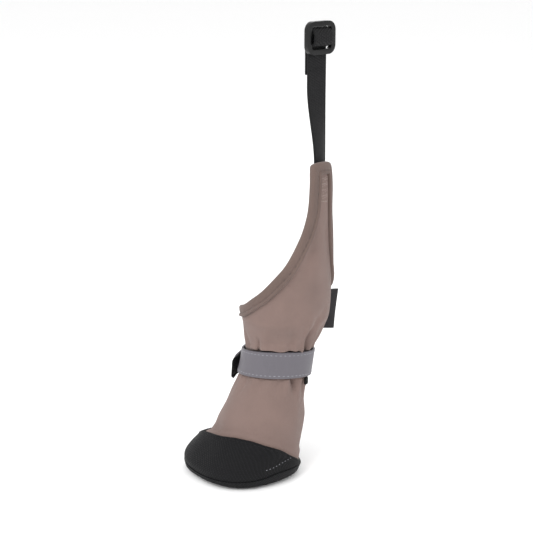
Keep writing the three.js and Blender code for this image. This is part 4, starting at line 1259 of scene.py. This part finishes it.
# %% [markdown]
# The side label is a short ribbon folded in half and caught in the back seam, so both ends are hidden and
# its fold points away from the boot. It carries nothing. The lift strap is webbing, sewn inside the flap,
# that rises to a slider: up behind its lower bar, over the middle bar and back down behind itself.

# %% The label
BACK_SEAM, LABEL_REACH, LABEL_HEIGHT, LABEL_DROP, LABEL_LEAN = 160.0, 5.4, 24.0, 9.0, 0.1
LABEL_STEPS = 40
LABEL_HALF = [(0.02, 0.42), (0.45, 0.45), (0.8, 0.52), (0.95, 0.38)]  # share of the reach, mm aside
LABEL_LOOP = LABEL_HALF + [(1, 0)] + [(reach, -aside) for reach, aside in reversed(LABEL_HALF)]
label_loop = rounded_line([(reach * LABEL_REACH, aside) for reach, aside in LABEL_LOOP], 6)
label_loop = evenly(label_loop, LABEL_STEPS + 1)
label_top = float(height_on(collar_line, flat_place(BACK_SEAM))) - LABEL_DROP


def facing(angle):
    """The level directions straight out at an angle from the toe, and to the side of that."""
    x, y = math.sin(math.radians(angle)), -math.cos(math.radians(angle))
    return np.array([x, y, 0]), np.array([-y, x, 0])


seam_out, seam_aside = facing(BACK_SEAM)
label_fold = layer(BACK_SEAM, label_top, CLEARANCE + LABEL_REACH)


def label_surface(u, v):
    reach, aside = np.moveaxis(label_loop[np.rint(u * LABEL_STEPS).astype(int)], -1, 0)
    height = label_top - LABEL_HEIGHT * (1 - v)
    share = reach / LABEL_REACH
    wave = 0.4 * np.sin(v * 4.0) * share**2
    seam = layer(BACK_SEAM, height, CLEARANCE - 0.2)
    fold = label_fold + seam_out * ((height - label_top) * LABEL_LEAN)[..., None]
    fold[..., 2] = height
    return between(seam, fold, share[..., None]) + seam_aside * (aside + wave)[..., None]


label = cloth_grid("side_label_loop", LABEL_STEPS, LABEL_STEPS, label_surface)
thicken(label, 0.45, side=0)
dress(label, LABEL, "label_tape", "side_label")

# %% The lift strap
WEBBING_WIDTH, WEBBING_THICKNESS, WEBBING_TUCK, LIFT_RISE, LOOP_TAIL = 13.5, 1.4, 20.0, 60.0, 14.0
WEBBING_ANGLE, SLIDER_PLACE, SLIDER_ANGLE = 117.5, 113.5, 93
SLIDER_WIDTH, SLIDER_HEIGHT, SLIDER_THICKNESS, SLIDER_CORNER = 20.6, 18.0, 3.0, 5.0
SLIDER_BAR, MIDDLE_BAR, RAIL, SLOT_CORNER = 2.8, 3.8, 3.1, 1.4
slider_out, slider_across = facing(SLIDER_ANGLE)
HEM_INSIDE = 0.8  # the hem's turned-in layer, between the flap and the webbing
webbing_inside = WALL + CLEARANCE * 2.4 + HEM_INSIDE + WEBBING_THICKNESS / 2
slider_bottom = FLAP_TOP + LIFT_RISE
slider_middle = slider_bottom + SLIDER_HEIGHT / 2
slider_centre = layer(SLIDER_PLACE, FLAP_TOP, -webbing_inside) - slider_out
slider_centre[2] = slider_middle
behind_bar = SLIDER_THICKNESS / 2 + CLEARANCE + WEBBING_THICKNESS / 2
slot_height = (SLIDER_HEIGHT - 2 * SLIDER_BAR - MIDDLE_BAR) / 2
join_height = slider_bottom - LOOP_TAIL - RAIL
lower_slot, upper_slot = slider_bottom + SLIDER_BAR, slider_middle + MIDDLE_BAR / 2
behind_itself = behind_bar + WEBBING_THICKNESS + CLEARANCE
LOOP_ROUTE = [  # out of the slider's plane, height
    (-behind_bar, join_height),
    (-behind_bar, lower_slot - 2.5),
    (-behind_bar, lower_slot + slot_height * 0.25),
    (behind_bar, lower_slot + slot_height * 0.8),
    (behind_bar + 0.2, slider_middle),
    (behind_bar, upper_slot + slot_height * 0.2),
    (-behind_bar + 0.7, upper_slot + slot_height * 0.75),
    (-behind_itself, upper_slot + slot_height * 0.35),
    (-behind_itself, slider_bottom),
    (-behind_itself, slider_bottom - LOOP_TAIL + 3),
]
loop_route = evenly(rounded_line(LOOP_ROUTE, 8), 61)
TUCK_ROWS, FREE_ROWS = 12, 40
STRAIGHT_ROWS = TUCK_ROWS + FREE_ROWS
WEBBING_ROWS = STRAIGHT_ROWS + len(loop_route) - 1
FLAP_RADIUS = LENGTH_WIDTH["collar"][1] / 2


def webbing_surface(u, v):
    share = u - 0.5
    row = np.rint(v * WEBBING_ROWS).astype(int)
    turn = np.degrees(share * WEBBING_WIDTH / (FLAP_RADIUS - webbing_inside))
    tucked_height = between(FLAP_TOP - WEBBING_TUCK, FLAP_TOP, np.clip(row / TUCK_ROWS, 0, 1))
    tucked = layer(WEBBING_ANGLE + turn, tucked_height, -webbing_inside)
    flat = slider_centre + share[..., None] * WEBBING_WIDTH * slider_across
    rise = np.clip((row - TUCK_ROWS) / FREE_ROWS, 0, 1)
    free = between(tucked, flat - behind_bar * slider_out, smoothstep(rise, 0, 1)[..., None])
    free[..., 2] = between(tucked_height, join_height, rise)
    out, height = np.moveaxis(loop_route[np.maximum(row - STRAIGHT_ROWS, 0)], -1, 0)
    looped = flat + out[..., None] * slider_out
    looped[..., 2] = height
    return np.where((row > STRAIGHT_ROWS)[..., None], looped, free)


webbing = cloth_grid("lift_webbing", 12, WEBBING_ROWS, webbing_surface)
thicken(webbing, WEBBING_THICKNESS, side=0)
round_edges(webbing, 0.45, angle=60)
dress(webbing, WEBBING, "webbing", "lift_strap")

# %% The slider
def round_rectangle(width, height, corner, middle=0.0, steps=8):
    """A rectangle with round corners, in mm, as points round it."""
    points = []
    for k, (side, rise) in enumerate(((1, 1), (-1, 1), (-1, -1), (1, -1))):
        turn = np.linspace(k, k + 1, steps + 1) * math.pi / 2
        x = side * (width / 2 - corner) + corner * np.cos(turn)
        y = rise * (height / 2 - corner) + corner * np.sin(turn) + middle
        points += list(zip(x, y))
    return points


frame_outline = bpy.data.curves.new("webbing_slider", "CURVE")
frame_outline.dimensions = "2D"
frame_outline.fill_mode = "BOTH"
frame_outline.extrude = SLIDER_THICKNESS / 2 * MM
slot_middle = (MIDDLE_BAR + slot_height) / 2
slot_width = SLIDER_WIDTH - 2 * RAIL
outlines = [round_rectangle(SLIDER_WIDTH, SLIDER_HEIGHT, SLIDER_CORNER)]
for middle in (-slot_middle, slot_middle):
    outlines.append(round_rectangle(slot_width, slot_height, SLOT_CORNER, middle))
for outline in outlines:
    spline = frame_outline.splines.new("POLY")
    spline.points.add(len(outline) - 1)
    spline.points.foreach_set("co", [c for x, y in outline for c in (x * MM, y * MM, 0, 1)])
    spline.use_cyclic_u = True
slider = new_object("webbing_slider", frame_outline)
selected_only(slider)
bpy.ops.object.convert(target="MESH")
slider = bpy.context.object
with edit_mode(slider):
    bpy.ops.mesh.remove_doubles(threshold=0.01 * MM)
    bpy.ops.mesh.dissolve_limited(angle_limit=math.radians(1))
    bpy.ops.mesh.normals_make_consistent(inside=False)
round_edges(slider, 0.9, segments=4)
points = np.array([v.co for v in slider.data.vertices]) / MM
placed = slider_centre + points @ np.array([slider_across, (0, 0, 1), slider_out])
slider.data.vertices.foreach_set("co", (placed * MM).ravel())
slider.data.update()
dress(slider, PLASTIC, "slider_plastic", "strap_slider", smooth=35)

# %% [markdown]
# The webbing's end is held by a patch of close stitches on the flap, and by a bar of stitches under the
# slider, where its tail is sewn to itself.

# %% The sewn patch on the flap, and the loop's bar of stitches
PATCH_LOW, PATCH_HIGH, PATCH_STEP = 167.0, 183.5, 1.1
PATCH_FROM, PATCH_TO, PATCH_SHIFT = 94.0, 118.0, 1.3  # every other row is shifted by so many degrees
patch_rows = []
for k, height in enumerate(np.arange(PATCH_LOW, PATCH_HIGH, PATCH_STEP)):
    shift = (k % 2) * PATCH_SHIFT
    angles = np.linspace(PATCH_FROM + shift, PATCH_TO - PATCH_SHIFT + shift, 12)
    patch_rows.append(on_cloth(angles, height + 0.7 * np.sin(angles * 2.9 + k), 0.12))
stitches("flap_stitches", patch_rows, TAUPE_THREAD, "softshell", length=1.0, gap=0.75, radius=0.24)

BAR_DROPS, BAR_SHARES = (9.5, 8.0), np.linspace(-0.42, 0.42, 12)[:, None]
on_webbing = behind_bar - WEBBING_THICKNESS / 2 - 0.05
bar_rows = []
for drop in BAR_DROPS:
    line = slider_centre + BAR_SHARES * WEBBING_WIDTH * slider_across - on_webbing * slider_out
    line[:, 2] = slider_bottom - drop
    bar_rows.append((line, np.repeat(slider_out[None], len(line), 0)))
stitches("loop_stitches", bar_rows, BLACK_THREAD, "webbing", length=1.5, gap=0.5, radius=0.2)

# %% Sizes, and the end
visual_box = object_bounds()
boxes = {"cad": cad_box, "visual": visual_box}
for name, box in boxes.items():
    print(name, [[round(float(x) * 1000, 1) for x in corner] for corner in box])
